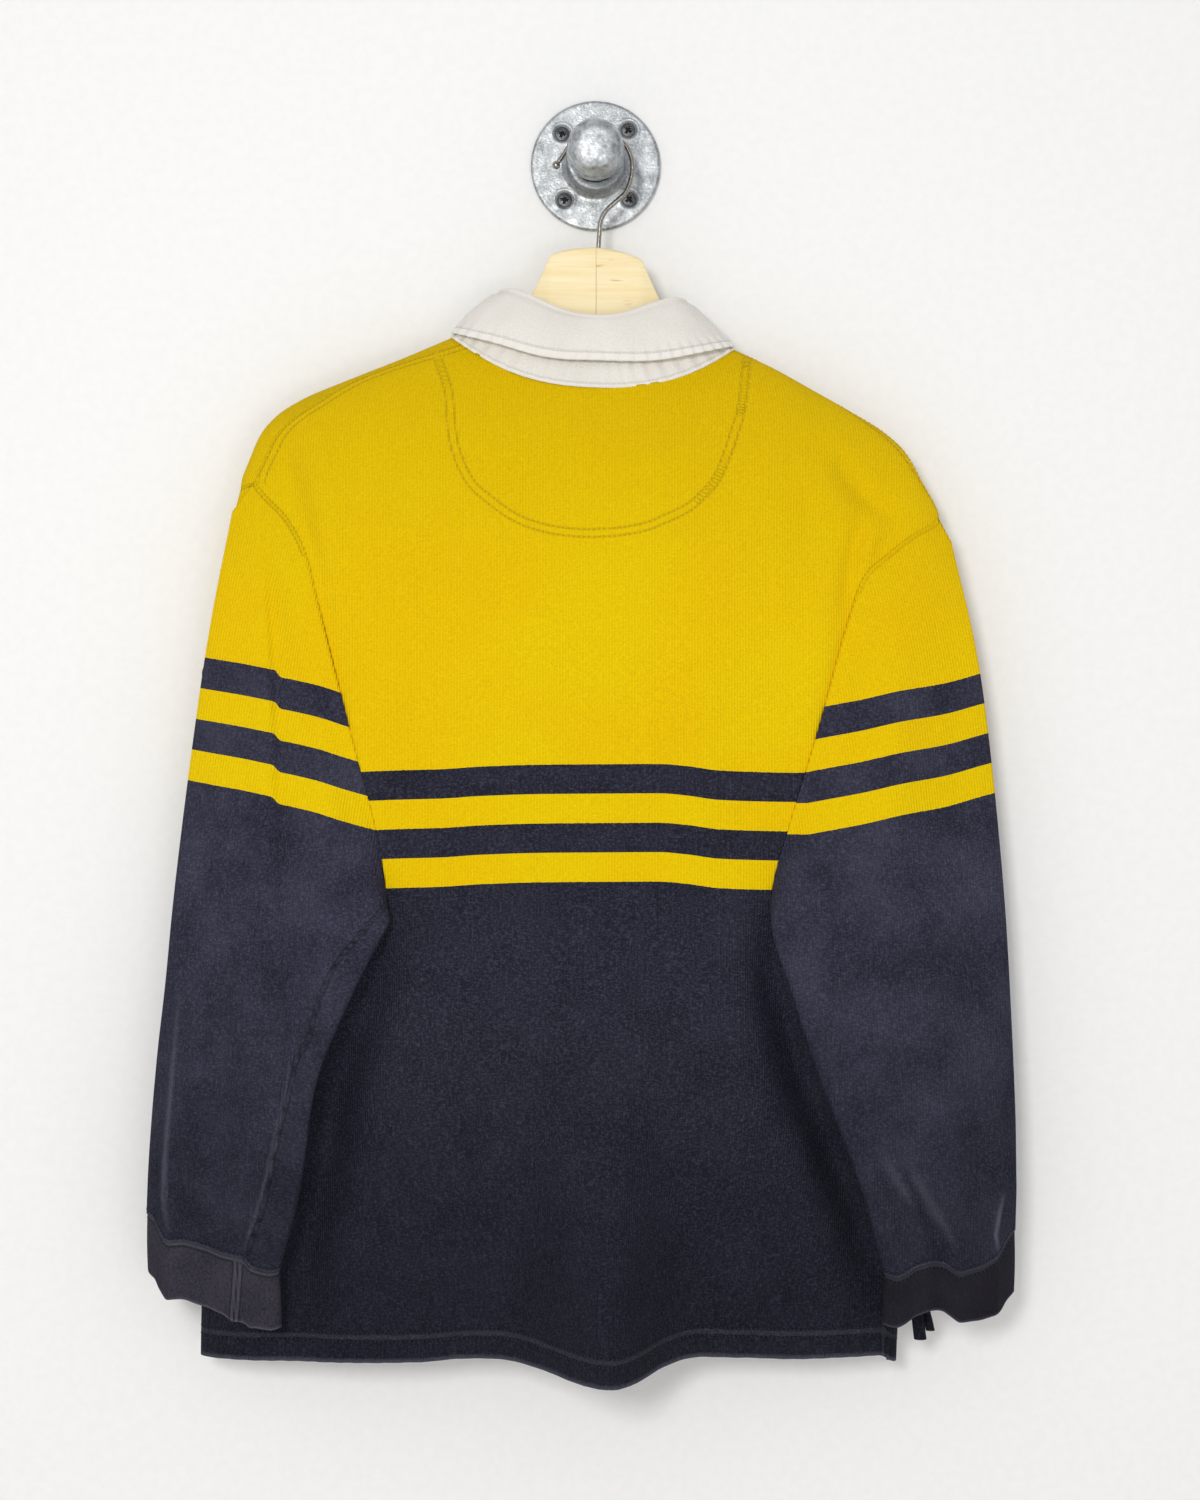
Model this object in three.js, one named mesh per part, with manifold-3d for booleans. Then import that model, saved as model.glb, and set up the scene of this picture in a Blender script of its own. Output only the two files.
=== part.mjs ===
// Rugby shirt seen from the back, on a wooden hanger whose wire hook hangs over a capped pipe stub.
// Millimetres, +Z up. The wall is the plane y = 0, the shirt's back faces -Y and its front faces the
// wall. The origin is the centre of the wall flange's back face.

import * as THREE from 'three';
import { mergeVertices } from 'three/addons/utils/BufferGeometryUtils.js';
import Module from 'manifold-3d';

const wasm = await Module();
wasm.setup();

// A table of named columns from rows of numbers
function tableOf(columnNames, rows) {
  const columns = columnNames.split(' ');
  return rows.map((row) => Object.fromEntries(columns.map((column, n) => [column, row[n]])));
}

// Driving dimensions of the cloth
const bodyCloth = 1.8;
const collarCloth = 1.8;
const bandCloth = 1.6;
const seamGap = 0.4;
const restGap = 4;
const armholeGap = 0.7;
const backColumns = 25;
const frontSideColumns = 12;
const sleeveHalfPoints = 12;
const placketTop = -206.5;
const placketWidth = 34;
const placketLength = 172;
const buttonTop = -222;
const buttonSpacing = 56;
const buttonRadius = 5.6;
const buttonThickness = 2;
const slitHalfWidth = 12;
const neckCentreX = -1.7;
const collarTilt = THREE.MathUtils.degToRad(3);

// Driving dimensions of the hanger and the wall hook
const wireRadius = 1.6;
const ballRadius = 3;
const hookPlaneY = -34;
const hangerPlaneY = -38;
const hangerMiddleX = 0.5;
const hangerBevel = 3;
const flangeRadius = 44.5;
const flangeThickness = 4.6;
const flangeWeb = 2;
const bossRadius = 19.2;
const bossHeight = 17;
const nippleRadius = 13.35;
const nippleBore = 10.5;
const nippleEnd = 66;
const threadClearance = 0.3;
const capRadius = 18.5;
const capBeadRadius = 19.4;
const capBeadLength = 7;
const capStart = 46;
const capEnd = 74;
const screwHoleRadius = 2.8;
const screwShankRadius = 2.2;
const screwHeadRadius = 5.2;

// Colours
const colours = {
  yellow: 0xdcb800,
  navy: 0x262838,
  collar: 0xe4deda,
  pine: 0xf0dca0,
  wire: 0x50504e,
  galvanised: 0xa6aaac,
  screw: 0x565a5c,
  button: 0xe8e4da,
};

// Body sections from the neck (row 0) to the hem (row 29). Left and right are as the photo shows them.
// The row's ends lie on the outline; dips say how far its middle hangs below its ends.
const bodySections = tableOf('row leftX leftZ rightX rightZ dip frontDip back front', [
  [0, -96, -123, 92.6, -131, 32, 78, -64, -14],
  [1, -129, -137, 118, -143, 27, 72, -65, -14],
  [2, -163.4, -150.6, 146, -158.5, 21.5, 66, -66, -14],
  [3, -197, -164.7, 175, -175, 16, 60, -67, -14],
  [4, -214, -175.5, 194, -187, 14, 58, -68, -14],
  [5, -225, -188, 208, -200, 11, 54, -69, -14],
  [6, -233, -206, 219, -219, 7, 50, -69, -14],
  [7, -238, -219.3, 231, -243.6, 4, 45, -70, -14],
  [8, -239, -227, 230, -256, 3, 42, -70, -14],
  [9, -240.5, -245, 228, -268, 2, 38, -70, -14],
  [11, -244.6, -301, 225, -310, 1, 20, -71, -13],
  [14, -251, -388, 221.7, -388, 0, 0, -72, -13],
  [19, -256.7, -499.5, 215, -499.5, 0, 0, -73, -12],
  [22, -261, -588, 210.5, -588, 0, 0, -73, -12],
  [26, -264, -722, 205.5, -722, 0, 0, -71, -12],
  [29, -265.4, -806, 202.1, -806, 0, 0, -70, -12],
]);
const lastRow = 29;
const junctionRow = 7;
const underarmRow = 19;
const edgeY = -38;

// Folds of the body cloth, side 1 on the back and -1 on the front; each fades in from top to bottom.
const bodyFolds = [
  { side: 1, x: 8, topZ: -560, fullZ: -800, widthLeft: 40, widthRight: 31, depth: 52 },
  { side: 1, x: -165, topZ: -215, fullZ: -300, widthLeft: 14, widthRight: 16, depth: -5, endZ: -430 },
  { side: 1, x: 152, topZ: -215, fullZ: -255, widthLeft: 22, widthRight: 16, depth: -7, endZ: -330 },
  { side: 1, x: -95, topZ: -600, fullZ: -790, widthLeft: 30, widthRight: 34, depth: -6 },
  { side: 1, x: 112, topZ: -600, fullZ: -790, widthLeft: 30, widthRight: 34, depth: -7 },
  { side: -1, x: -120, topZ: -430, fullZ: -780, widthLeft: 40, widthRight: 40, depth: -7 },
  { side: -1, x: 85, topZ: -460, fullZ: -780, widthLeft: 36, widthRight: 36, depth: -7 },
];

// Seam between the back and the front at each side: shoulder seam, armhole and side seam by row
const backSeam = tableOf('row left right', [
  [0, -90, 87],
  [3, -185, 163],
  [6, -222, 208],
  [7, -227, 221],
  [8, -221.5, 211],
  [9, -203.8, 197],
  [10, -191.2, 178],
  [11, -184.2, 169.7],
  [14, -162.5, 147.5],
  [17, -145, 127.5],
  [19, -138.3, 116.6],
  [20, -155, 130],
  [22, -190, 152],
  [25, -238, 188],
  [27, -254, 196],
  [29, -260, 197],
]);

// Front edge of the armhole: how far inside the outline it lies, on the shirt's front face if negative
// and round on its back face if positive
const frontArmhole = tableOf('row left right', [
  [8, -1, -1],
  [9, -2.5, -2.5],
  [10, -3, -3],
  [11, -1.5, -1.5],
  [12, 2, 2],
  [13, 6, 6],
  [14, 11, 11],
  [15, 20, 18],
  [16, 36, 32],
  [17, 62, 54],
  [18, 90, 76],
  [19, 118.4, 98.4],
]);

// Sleeve outlines as they hang: outer and inner edge of each section from the shoulder to the cuff
const sleeveLeftSections = tableOf('ring outerX outerZ innerX innerZ outerY innerY half', [
  [1, -243, -241, -138, -501, -40, -73, 9],
  [5, -260.6, -330, -136.4, -505, -43, -77, 14],
  [9, -283, -503, -135, -513, -46, -84, 16],
  [11, -287.6, -556, -146.8, -536, -49, -85, 16],
  [13, -292.5, -604, -165.2, -574, -52, -85, 16],
  [15, -295.8, -646, -183.6, -622, -54, -84, 15],
  [17, -297.8, -684, -193.4, -684, -56, -82, 15],
  [19, -298.5, -713.4, -206.9, -735, -58, -80, 14],
]);
const sleeveRightSections = tableOf('ring outerX outerZ innerX innerZ outerY innerY half', [
  [1, 238.9, -261, 116.3, -501, -40, -73, 9],
  [5, 258.3, -350, 115, -506, -43, -77, 14],
  [9, 275, -515, 116, -521, -46, -84, 16],
  [11, 277.7, -571, 127.2, -555.6, -49, -85, 16],
  [13, 279.4, -618, 142, -602, -52, -85, 16],
  [15, 280.3, -656, 160, -650, -54, -84, 15],
  [17, 280.4, -694, 176, -692, -56, -82, 15],
  [19, 279.4, -728, 189.6, -740, -58, -80, 14],
]);
const fanRings = 9;
const sleeveRings = 19;

// The sleeve's wall side starts as a strip beside the body, down to these rows of the armhole
const stripRow = 13;
const stripFadeRows = 3;
const restRow = 12.5;
const outlineRow = 9.5;

// Cuff seams and cuffs: how far a seam's points lie above the line between its ends, and cuff depths
const waveRing = 14;
const cuffWaveLeft = tableOf('x rise', [
  [-298.5, 5.5], [-293, 4.5], [-289, -2], [-283.4, -8], [-269, -4.3], [-257.7, -4.2],
  [-244.5, -5.6], [-232, -4.6], [-224.7, -9.5], [-214.8, -9.9], [-206, -7],
]);
const cuffWaveRight = tableOf('x rise', [
  [189, -4.6], [198.4, -7.7], [204.3, -6.2], [211.6, -2.8], [219.5, -1.6], [228, -3.6], [234.7, -8.2],
  [240, -11.2], [251.2, -10.9], [261, -8.4], [267.7, -3.8], [273.6, 4.6], [279.5, 9],
]);
const cuffDepthLeft = tableOf('x depth', [
  [-298, 33.5], [-283, 33.5], [-262, 38.6], [-246, 39], [-238, 42], [-229, 41], [-223, 38], [-206, 37],
]);
const cuffDepthRight = tableOf('x depth', [
  [185, 33], [212, 31.5], [228, 30.5], [245, 32.5], [262, 33.5], [272, 35.5], [282, 36],
]);
const cuffTaper = 0.035;

// The hem's unevenness along the back, which fades out above this height
const hemWaveTop = -690;
const hemWaveRows = tableOf('x rise', [
  [-256, 0], [-116, 0], [-90, 2], [-63, 2.6], [-37, 0], [-12, -3.4], [15, -4.8], [29, -3.6],
  [42, 0], [68, 4.2], [95, 2.4], [130, 1], [200, 0],
]);

// Collar lines round the neck before its tilt: turn 0 is the front opening and 0.5 the back's middle
const collarLines = tableOf('turn rollX rollY rollZ edgeX edgeY edgeZ', [
  [0, 9, -15, -180, 58, -8.5, -244],
  [0.06, 34, -17, -154, 74, -8.5, -222],
  [0.12, 51, -22, -124, 88, -10, -190],
  [0.19, 61, -30, -102, 97, -19, -148],
  [0.25, 63.5, -39, -94.5, 97.5, -40, -121],
  [0.31, 57, -49, -94.5, 86.5, -59.5, -127],
  [0.37, 43, -57, -99.5, 62, -68, -135],
  [0.44, 21, -62.5, -108.5, 30, -71, -141.5],
  [0.475, 9, -64, -110.9, 12.5, -71.3, -142.9],
  [0.5, 0, -64.2, -111.3, 0, -71.3, -143.1],
]);

const collarMiddleY = -39;
const collarSwell = 3;
const standInset = 3.4;
const standDrop = 2.6;
const standRise = 1.4;
const standOpening = 0.13;

// Hanger arm sections from the head to the tip, measured from the hanger's middle
const hangerSections = tableOf('reach topZ bottomZ half', [
  [0.3, -63, -139, 6.5],
  [14, -64.5, -140, 6.5],
  [31, -70, -142, 6.5],
  [36, -82, -143, 6.5],
  [44, -98, -145, 6.5],
  [60, -118, -150, 6.5],
  [95, -135.5, -163, 6.2],
  [130, -151, -178, 6],
  [165, -168.5, -192, 5.6],
  [190, -183, -202, 5],
  [201, -192, -204, 4],
]);

// Wire hook from the hanger's top round the pipe to the ball
const hookRoute = [
  { x: 1.9, z: -62.3 }, { x: 2.6, z: -52 }, { x: 3.4, z: -44 }, { x: 7.5, z: -36.5 }, { x: 14, z: -30.5 },
  { x: 20.6, z: -24 }, { x: 24.6, z: -12 }, { x: 24, z: -1 }, { x: 19.8, z: 7.6 }, { x: 12, z: 13.4 },
  { x: 3, z: 15.6 }, { x: -7, z: 14.6 }, { x: -15.4, z: 10 }, { x: -21.6, z: 1 }, { x: -25, z: -4 },
];

// Helpers
const mix = (a, b, t) => a + (b - a) * t;
const clamp = (value, low, high) => Math.min(high, Math.max(low, value));
const ease = (t) => {
  const c = clamp(t, 0, 1);
  return c * c * (3 - 2 * c);
};
const signedPower = (value, power) => Math.sign(value) * Math.abs(value) ** power;

// A smooth curve through one column of a table, with no overshoot between its rows
function curve(table, keyName, valueName) {
  const keys = table.map((entry) => entry[keyName]);
  const values = table.map((entry) => entry[valueName]);
  const steps = keys.slice(1).map((key, i) => (values[i + 1] - values[i]) / (key - keys[i]));
  const slopes = keys.map((key, i) => {
    if (i === 0) return steps[0];
    if (i === keys.length - 1) return steps[i - 1];
    return steps[i - 1] * steps[i] <= 0 ? 0 : (2 * steps[i - 1] * steps[i]) / (steps[i - 1] + steps[i]);
  });
  return (key) => {
    const at = clamp(key, keys[0], keys[keys.length - 1]);
    let i = 0;
    while (i < keys.length - 2 && at > keys[i + 1]) i += 1;
    const span = keys[i + 1] - keys[i];
    const t = (at - keys[i]) / span;
    const a = values[i] * (1 + 2 * t) * (1 - t) ** 2 + values[i + 1] * t * t * (3 - 2 * t);
    return a + span * (slopes[i] * t * (1 - t) ** 2 - slopes[i + 1] * t * t * (1 - t));
  };
}

function curvesOf(table, keyName) {
  const names = Object.keys(table[0]).filter((name) => name !== keyName);
  return Object.fromEntries(names.map((name) => [name, curve(table, keyName, name)]));
}

function geometryFrom(points, faces) {
  const geometry = new THREE.BufferGeometry();
  const numbers = points.flatMap((p) => [p.x, p.y, p.z]);
  geometry.setAttribute('position', new THREE.Float32BufferAttribute(numbers, 3));
  geometry.setIndex(faces.flat());
  geometry.computeVertexNormals();
  return geometry;
}

// Cloth wall: rows of outer points, with the wall built inwards. It closes on itself if round is true,
// the cells that keep() leaves out become openings with their own edges, and given inward directions
// let two panels meet with level edges.
function clothWall(rows, thickness, { round = false, keep = () => true, directions = null } = {}) {
  const count = rows[0].length;
  const across = round ? count : count - 1;
  const index = (j, i) => j * count + (i % count);
  const points = rows.flat();
  const normals = points.map(() => new THREE.Vector3());
  const cells = [];
  for (let j = 0; j < rows.length - 1; j += 1) {
    for (let i = 0; i < across; i += 1) {
      if (keep(j, i)) cells.push([index(j, i), index(j, i + 1), index(j + 1, i + 1), index(j + 1, i)]);
    }
  }
  for (const [a, b, c, d] of cells) {
    const diagonal = points[c].clone().sub(points[a]);
    const other = points[d].clone().sub(points[b]);
    const normal = diagonal.cross(other).normalize();
    for (const corner of [a, b, c, d]) normals[corner].add(normal);
  }
  const inwards = directions ? directions.flat() : normals.map((normal) => normal.normalize());
  const inner = points.map((p, k) => p.clone().addScaledVector(inwards[k], thickness));
  const offset = points.length;
  const faces = [];
  const edges = new Map();
  for (const [a, b, c, d] of cells) {
    faces.push([a, c, b], [a, d, c]);
    faces.push([a, b, c].map((k) => k + offset), [a, c, d].map((k) => k + offset));
    for (const [from, to] of [[a, b], [b, c], [c, d], [d, a]]) edges.set(`${from}_${to}`, [from, to]);
  }
  for (const [from, to] of edges.values()) {
    if (!edges.has(`${to}_${from}`)) {
      faces.push([from, to, to + offset], [from, to + offset, from + offset]);
    }
  }
  const used = [...new Set(faces.flat())];
  const renumber = new Map(used.map((k, n) => [k, n]));
  const all = points.concat(inner);
  return geometryFrom(used.map((k) => all[k]), faces.map((face) => face.map((k) => renumber.get(k))));
}

// Solid bar through closed rings, with flat ends
function barThrough(rings) {
  const count = rings[0].length;
  const points = rings.flat();
  const faces = [];
  for (let j = 0; j < rings.length - 1; j += 1) {
    for (let i = 0; i < count; i += 1) {
      const a = j * count + i;
      const b = j * count + ((i + 1) % count);
      faces.push([a, b, b + count], [a, b + count, a + count]);
    }
  }
  const last = (rings.length - 1) * count;
  for (let i = 1; i < count - 1; i += 1) {
    faces.push([0, i + 1, i], [last, last + i, last + i + 1]);
  }
  return geometryFrom(points, faces);
}

const toSolid = (geometry) => {
  const bare = geometry.index ? geometry.clone() : geometry;
  bare.deleteAttribute('normal');
  bare.deleteAttribute('uv');
  const merged = mergeVertices(bare, 1e-4);
  return new wasm.Manifold(new wasm.Mesh({
    numProp: 3,
    vertProperties: new Float32Array(merged.attributes.position.array),
    triVerts: new Uint32Array(merged.index.array),
  }));
};

const toGeometry = (solid) => {
  const mesh = solid.getMesh();
  const geometry = new THREE.BufferGeometry();
  geometry.setAttribute('position', new THREE.BufferAttribute(new Float32Array(mesh.vertProperties), 3));
  geometry.setIndex(new THREE.BufferAttribute(new Uint32Array(mesh.triVerts), 1));
  geometry.computeVertexNormals();
  return geometry;
};

// Body surface: angle 0 is the left outline, a quarter turn the back, a half turn the right outline
const body = curvesOf(bodySections, 'row');
const roundness = (row) => mix(2.2, 2.6, ease((row - junctionRow) / 8));
const dipPower = 2.4;
const hemRise = curve(hemWaveRows, 'x', 'rise');

function foldOffset(side, x, z) {
  let sum = 0;
  for (const fold of bodyFolds) {
    if (fold.side === side) {
      const width = x < fold.x ? fold.widthLeft : fold.widthRight;
      const grow = ease((fold.topZ - z) / (fold.topZ - fold.fullZ));
      const fade = fold.endZ ? 1 - ease((fold.fullZ - z) / (fold.fullZ - fold.endZ)) : 1;
      sum += fold.depth * grow * fade * Math.exp(-(((x - fold.x) / width) ** 2));
    }
  }
  return sum;
}

function bodyPoint(row, angle) {
  const left = body.leftX(row);
  const right = body.rightX(row);
  const power = 2 / roundness(row);
  const x = (left + right) / 2 - ((right - left) / 2) * signedPower(Math.cos(angle), power);
  const s = (x - left) / (right - left);
  const onBack = Math.sin(angle) >= 0;
  const dip = (onBack ? body.dip(row) : body.frontDip(row)) * (1 - Math.abs(2 * s - 1) ** dipPower);
  const z = mix(body.leftZ(row), body.rightZ(row), s) - dip;
  const depth = (onBack ? body.back(row) : body.front(row)) - edgeY;
  const bulge = Math.abs(Math.sin(angle)) ** power;
  const fold = foldOffset(onBack ? 1 : -1, x, z) * bulge;
  const rise = onBack ? hemRise(x) * ease((hemWaveTop - z) / (hemWaveTop - body.leftZ(lastRow))) : 0;
  return new THREE.Vector3(x, edgeY + depth * bulge - fold * (onBack ? 1 : -1), z + rise);
}

// Direction from the body's surface into the shirt
function bodyInward(row, angle) {
  const step = 0.02;
  const around = bodyPoint(row, angle + step).sub(bodyPoint(row, angle - step));
  const below = bodyPoint(Math.min(row + step, lastRow), angle);
  const down = below.sub(bodyPoint(Math.max(row - step, 0), angle));
  return around.cross(down).normalize();
}

const angleAt = (row, x) => {
  const left = body.leftX(row);
  const right = body.rightX(row);
  const share = clamp(((left + right) / 2 - x) / ((right - left) / 2), -1, 1);
  return Math.acos(signedPower(share, roundness(row) / 2));
};

// Body surface over a point of the x-z plane, on the back or the front
function bodyOver(x, z, onBack) {
  let low = 0;
  let high = lastRow;
  const pointOn = (row) => bodyPoint(row, onBack ? angleAt(row, x) : 2 * Math.PI - angleAt(row, x));
  for (let n = 0; n < 24; n += 1) {
    const middle = (low + high) / 2;
    if (pointOn(middle).z > z) low = middle;
    else high = middle;
  }
  return pointOn((low + high) / 2);
}

const seam = curvesOf(backSeam, 'row');
const armhole = curvesOf(frontArmhole, 'row');

// Angle of the back panel's edge, and of the front panel's edge beyond it
const backEdge = (side, row) => angleAt(row, seam[side](row));

function frontEdge(side, row) {
  const outline = side === 'left' ? body.leftX(row) : body.rightX(row);
  const step = side === 'left' ? 1 : -1;
  if (row <= junctionRow || row >= underarmRow) {
    return angleAt(row, seam[side](row) - step * seamGap);
  }
  const inset = armhole[side](row);
  const angle = angleAt(row, outline + step * Math.abs(inset));
  return inset >= 0 ? angle : 2 * Math.PI - angle;
}

// The same angle counted on from the right edge round the front to the left one
const unwrap = (angle, side) => {
  if (side === 'right') return angle;
  return angle > Math.PI ? angle : angle + 2 * Math.PI;
};

// Panel through rows of angles on the body's surface
function panelThrough(angleRows, options = {}) {
  const rows = angleRows.map((angles, row) => angles.map((angle) => bodyPoint(row, angle)));
  const directions = angleRows.map((angles, row) => angles.map((angle) => bodyInward(row, angle)));
  return clothWall(rows, bodyCloth, { ...options, directions });
}

function evenly(from, to, count) {
  return Array.from({ length: count + 1 }, (_, i) => mix(from, to, i / count));
}

function makeBackPanel() {
  const angleRows = [];
  for (let row = 0; row <= lastRow; row += 1) {
    angleRows.push(evenly(backEdge('left', row), backEdge('right', row), backColumns));
  }
  return panelThrough(angleRows);
}

const slitDrift = 4;
const slitCentre = (row) => neckCentreX - slitDrift * (row / lastRow);
const slitLastRow = 13;

function makeFrontPanel() {
  const angleRows = [];
  for (let row = 0; row <= lastRow; row += 1) {
    const from = unwrap(frontEdge('right', row), 'right');
    const to = unwrap(frontEdge('left', row), 'left');
    const slitRight = 2 * Math.PI - angleAt(row, slitCentre(row) + slitHalfWidth);
    const slitLeft = 2 * Math.PI - angleAt(row, slitCentre(row) - slitHalfWidth);
    angleRows.push([
      ...evenly(from, slitRight, frontSideColumns),
      ...evenly(slitLeft, to, frontSideColumns),
    ]);
  }
  const keep = (j, i) => i !== frontSideColumns || j >= slitLastRow;
  return panelThrough(angleRows, { keep });
}

// Outermost x of a sleeve at a height
function outlineAt(edges, z) {
  let low = 1;
  let high = sleeveRings;
  for (let n = 0; n < 20; n += 1) {
    const middle = (low + high) / 2;
    if (edges.outerZ(middle) > z) low = middle;
    else high = middle;
  }
  return edges.outerX(high);
}

// Share of the way from the armhole's front edge to the outline where the strip beside the body starts
function stripStart(edgeRow, fan) {
  const strip = 1 - ease((edgeRow - stripRow) / stripFadeRows);
  return (0.7 * fan + 0.2) * strip + 0.02;
}

// Sleeve: rings of points that start on the armhole, fan out round the underarm and run to the cuff.
// Points 0 to sleeveHalfPoints lie on the camera side from the outer to the inner edge, the rest return
// along the side that lies on the body.
function sleeveRingPoints(side, sections, ring) {
  const out = side === 'left' ? -1 : 1;
  const edges = curvesOf(sections, 'ring');
  const at = Math.max(ring, 1);
  const outer = { x: edges.outerX(at), z: edges.outerZ(at) };
  const inner = { x: edges.innerX(at), z: edges.innerZ(at) };
  const fan = Math.min(ring / fanRings, 1);
  const fanOuter = { x: edges.outerX(fanRings), z: edges.outerZ(fanRings) };
  const fanInner = { x: edges.innerX(fanRings), z: edges.innerZ(fanRings) };
  const junction = bodyPoint(junctionRow, backEdge(side, junctionRow));
  const underarm = bodyPoint(underarmRow, backEdge(side, underarmRow));
  const total = 2 * sleeveHalfPoints;
  const points = [];
  for (let i = 0; i < total; i += 1) {
    const camera = i <= sleeveHalfPoints;
    const q = camera ? i / sleeveHalfPoints : (total - i) / sleeveHalfPoints;
    const share = (1 - Math.cos(Math.PI * q)) / 2;
    const row = mix(junctionRow, underarmRow, q);
    const seamAngle = camera || row <= junctionRow ? backEdge(side, row) : frontEdge(side, row);
    const start = bodyPoint(row, seamAngle);
    if (start.y < edgeY) start.y -= armholeGap * (camera ? q ** 6 : 1);
    if (camera) start.x += out * armholeGap * q;
    if (ring === 0) {
      points.push(start);
      continue;
    }
    let x = mix(outer.x, inner.x, share);
    let z = mix(outer.z, inner.z, share);
    if (ring < fanRings) {
      const endX = mix(fanOuter.x, fanInner.x, share);
      const endZ = mix(fanOuter.z, fanInner.z, share);
      x = mix(start.x, endX, fan);
      z = mix(start.z, endZ, fan);
      x += (outer.x - mix(junction.x, fanOuter.x, fan)) * (1 - share);
      z += (outer.z - mix(junction.z, fanOuter.z, fan)) * (1 - share);
      x += (inner.x - mix(underarm.x, fanInner.x, fan)) * share;
      z += (inner.z - mix(underarm.z, fanInner.z, fan)) * share;
    }
    const middle = mix(edges.outerY(at), edges.innerY(at), share);
    const half = edges.half(at) * Math.sin(Math.PI * q) ** 0.8;
    let y = middle + (camera ? -half : half);
    if (camera) {
      y = mix(start.y, y, ease(Math.min(ring / (fanRings * 0.8), 1)));
    } else {
      const edgeRow = rowOfArmhole(side, z);
      if (ring < fanRings && edgeRow < underarmRow) {
        const edge = bodyPoint(edgeRow, frontEdge(side, edgeRow));
        const limit = mix(edge.x, outer.x, stripStart(edgeRow, fan));
        if (out * x < out * limit) x = limit;
        const stripShare = clamp((x - edge.x) / (outer.x - edge.x), 0, 1);
        y = mix(edge.y, y, Math.max(stripShare, ease(fan * 1.4)));
      }
      if (edgeRow >= restRow) y = Math.min(y, bodyOver(x, z, true).y - restGap);
      const outline = outlineAt(edges, z);
      if (edgeRow >= outlineRow && out * x > out * outline) x = outline;
    }
    points.push(new THREE.Vector3(x, y, z));
  }
  return points;
}

// Row of the armhole's front edge at a height, from the junction to the underarm
function rowOfArmhole(side, z) {
  let low = junctionRow + 1;
  let high = underarmRow;
  for (let n = 0; n < 20; n += 1) {
    const middle = (low + high) / 2;
    if (bodyPoint(middle, frontEdge(side, middle)).z > z) low = middle;
    else high = middle;
  }
  return high;
}

function sleeveRows(side, sections, wave) {
  const rows = [];
  for (let ring = 0; ring <= sleeveRings; ring += 1) {
    const points = sleeveRingPoints(side, sections, ring);
    const share = ease((ring - waveRing) / (sleeveRings - waveRing)) ** 1.5;
    for (const p of points) p.z += wave(p.x) * share;
    rows.push(points);
  }
  rows[0].forEach((p, i) => p.addScaledVector(rows[1][i].clone().sub(p).normalize(), armholeGap));
  return rows;
}

// Cuff: it carries the sleeve's last ring on in its own direction and narrows a little
function makeCuff(lastRing, direction, depthAt) {
  const centre = new THREE.Vector3();
  for (const p of lastRing) centre.addScaledVector(p, 1 / lastRing.length);
  return [0, 1 / 3, 2 / 3, 1].map((step) => lastRing.map((p) => {
    const size = 1 - cuffTaper * step;
    const x = mix(centre.x, p.x, size);
    const y = mix(centre.y, p.y, size);
    const reach = seamGap + depthAt(p.x) * step;
    return new THREE.Vector3(x, y, p.z).addScaledVector(direction, reach);
  }));
}

// Collar
const collar = curvesOf(collarLines, 'turn');

function collarPoint(turn, down) {
  const half = turn <= 0.5 ? turn : 1 - turn;
  const sign = turn <= 0.5 ? -1 : 1;
  const x = sign * mix(collar.rollX(half), collar.edgeX(half), down);
  const y = mix(collar.rollY(half), collar.edgeY(half), down);
  const z = mix(collar.rollZ(half), collar.edgeZ(half), down);
  const swell = collarSwell * Math.sin(Math.PI * down) * mix(0.3, 1, ease((half - 0.15) / 0.08));
  const direction = new THREE.Vector3(x / 60, (y - collarMiddleY) / 25, 0).normalize();
  const tilted = new THREE.Vector3(x + neckCentreX, y, z - Math.tan(collarTilt) * x);
  return tilted.addScaledVector(direction, swell);
}

const collarColumns = 36;

function makeCollarLeaf() {
  const rows = [];
  for (const down of [0, 0.3, 0.65, 1]) {
    const points = [];
    for (let i = 0; i <= collarColumns; i += 1) points.push(collarPoint(i / collarColumns, down));
    rows.push(points);
  }
  return clothWall(rows, collarCloth);
}

function makeCollarStand() {
  const bottom = [];
  const top = [];
  for (let i = 0; i <= collarColumns; i += 1) {
    const turn = i / collarColumns;
    const roll = collarPoint(turn, 0);
    const inwards = new THREE.Vector3(neckCentreX - roll.x, collarMiddleY - roll.y, 0).normalize();
    const upper = roll.clone().addScaledVector(inwards, standInset);
    upper.z -= standDrop;
    const openAngle = mix(standOpening, 2 * Math.PI - standOpening, turn);
    const lower = bodyPoint(0, (1.5 * Math.PI + openAngle) % (2 * Math.PI));
    const up = upper.clone().sub(lower).normalize();
    lower.addScaledVector(up, standRise);
    bottom.push(lower);
    top.push(upper);
  }
  const middle = bottom.map((p, i) => p.clone().lerp(top[i], 0.5));
  return clothWall([top, middle, bottom], collarCloth);
}

// Placket bands on the front: the outer one lies on the front panel, the under one behind it
function makePlacket(lift, width, length) {
  const rows = [];
  const steps = 9;
  const columns = 4;
  for (let j = 0; j <= steps; j += 1) {
    const points = [];
    for (let i = 0; i <= columns; i += 1) {
      const z = placketTop - (length * j) / steps;
      const centre = neckCentreX - 1.5 - 1.5 * (j / steps);
      const over = bodyOver(centre + width * (0.5 - i / columns), z, false);
      points.push(new THREE.Vector3(over.x, over.y + lift, over.z));
    }
    rows.push(points);
  }
  return clothWall(rows, bandCloth);
}

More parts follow.
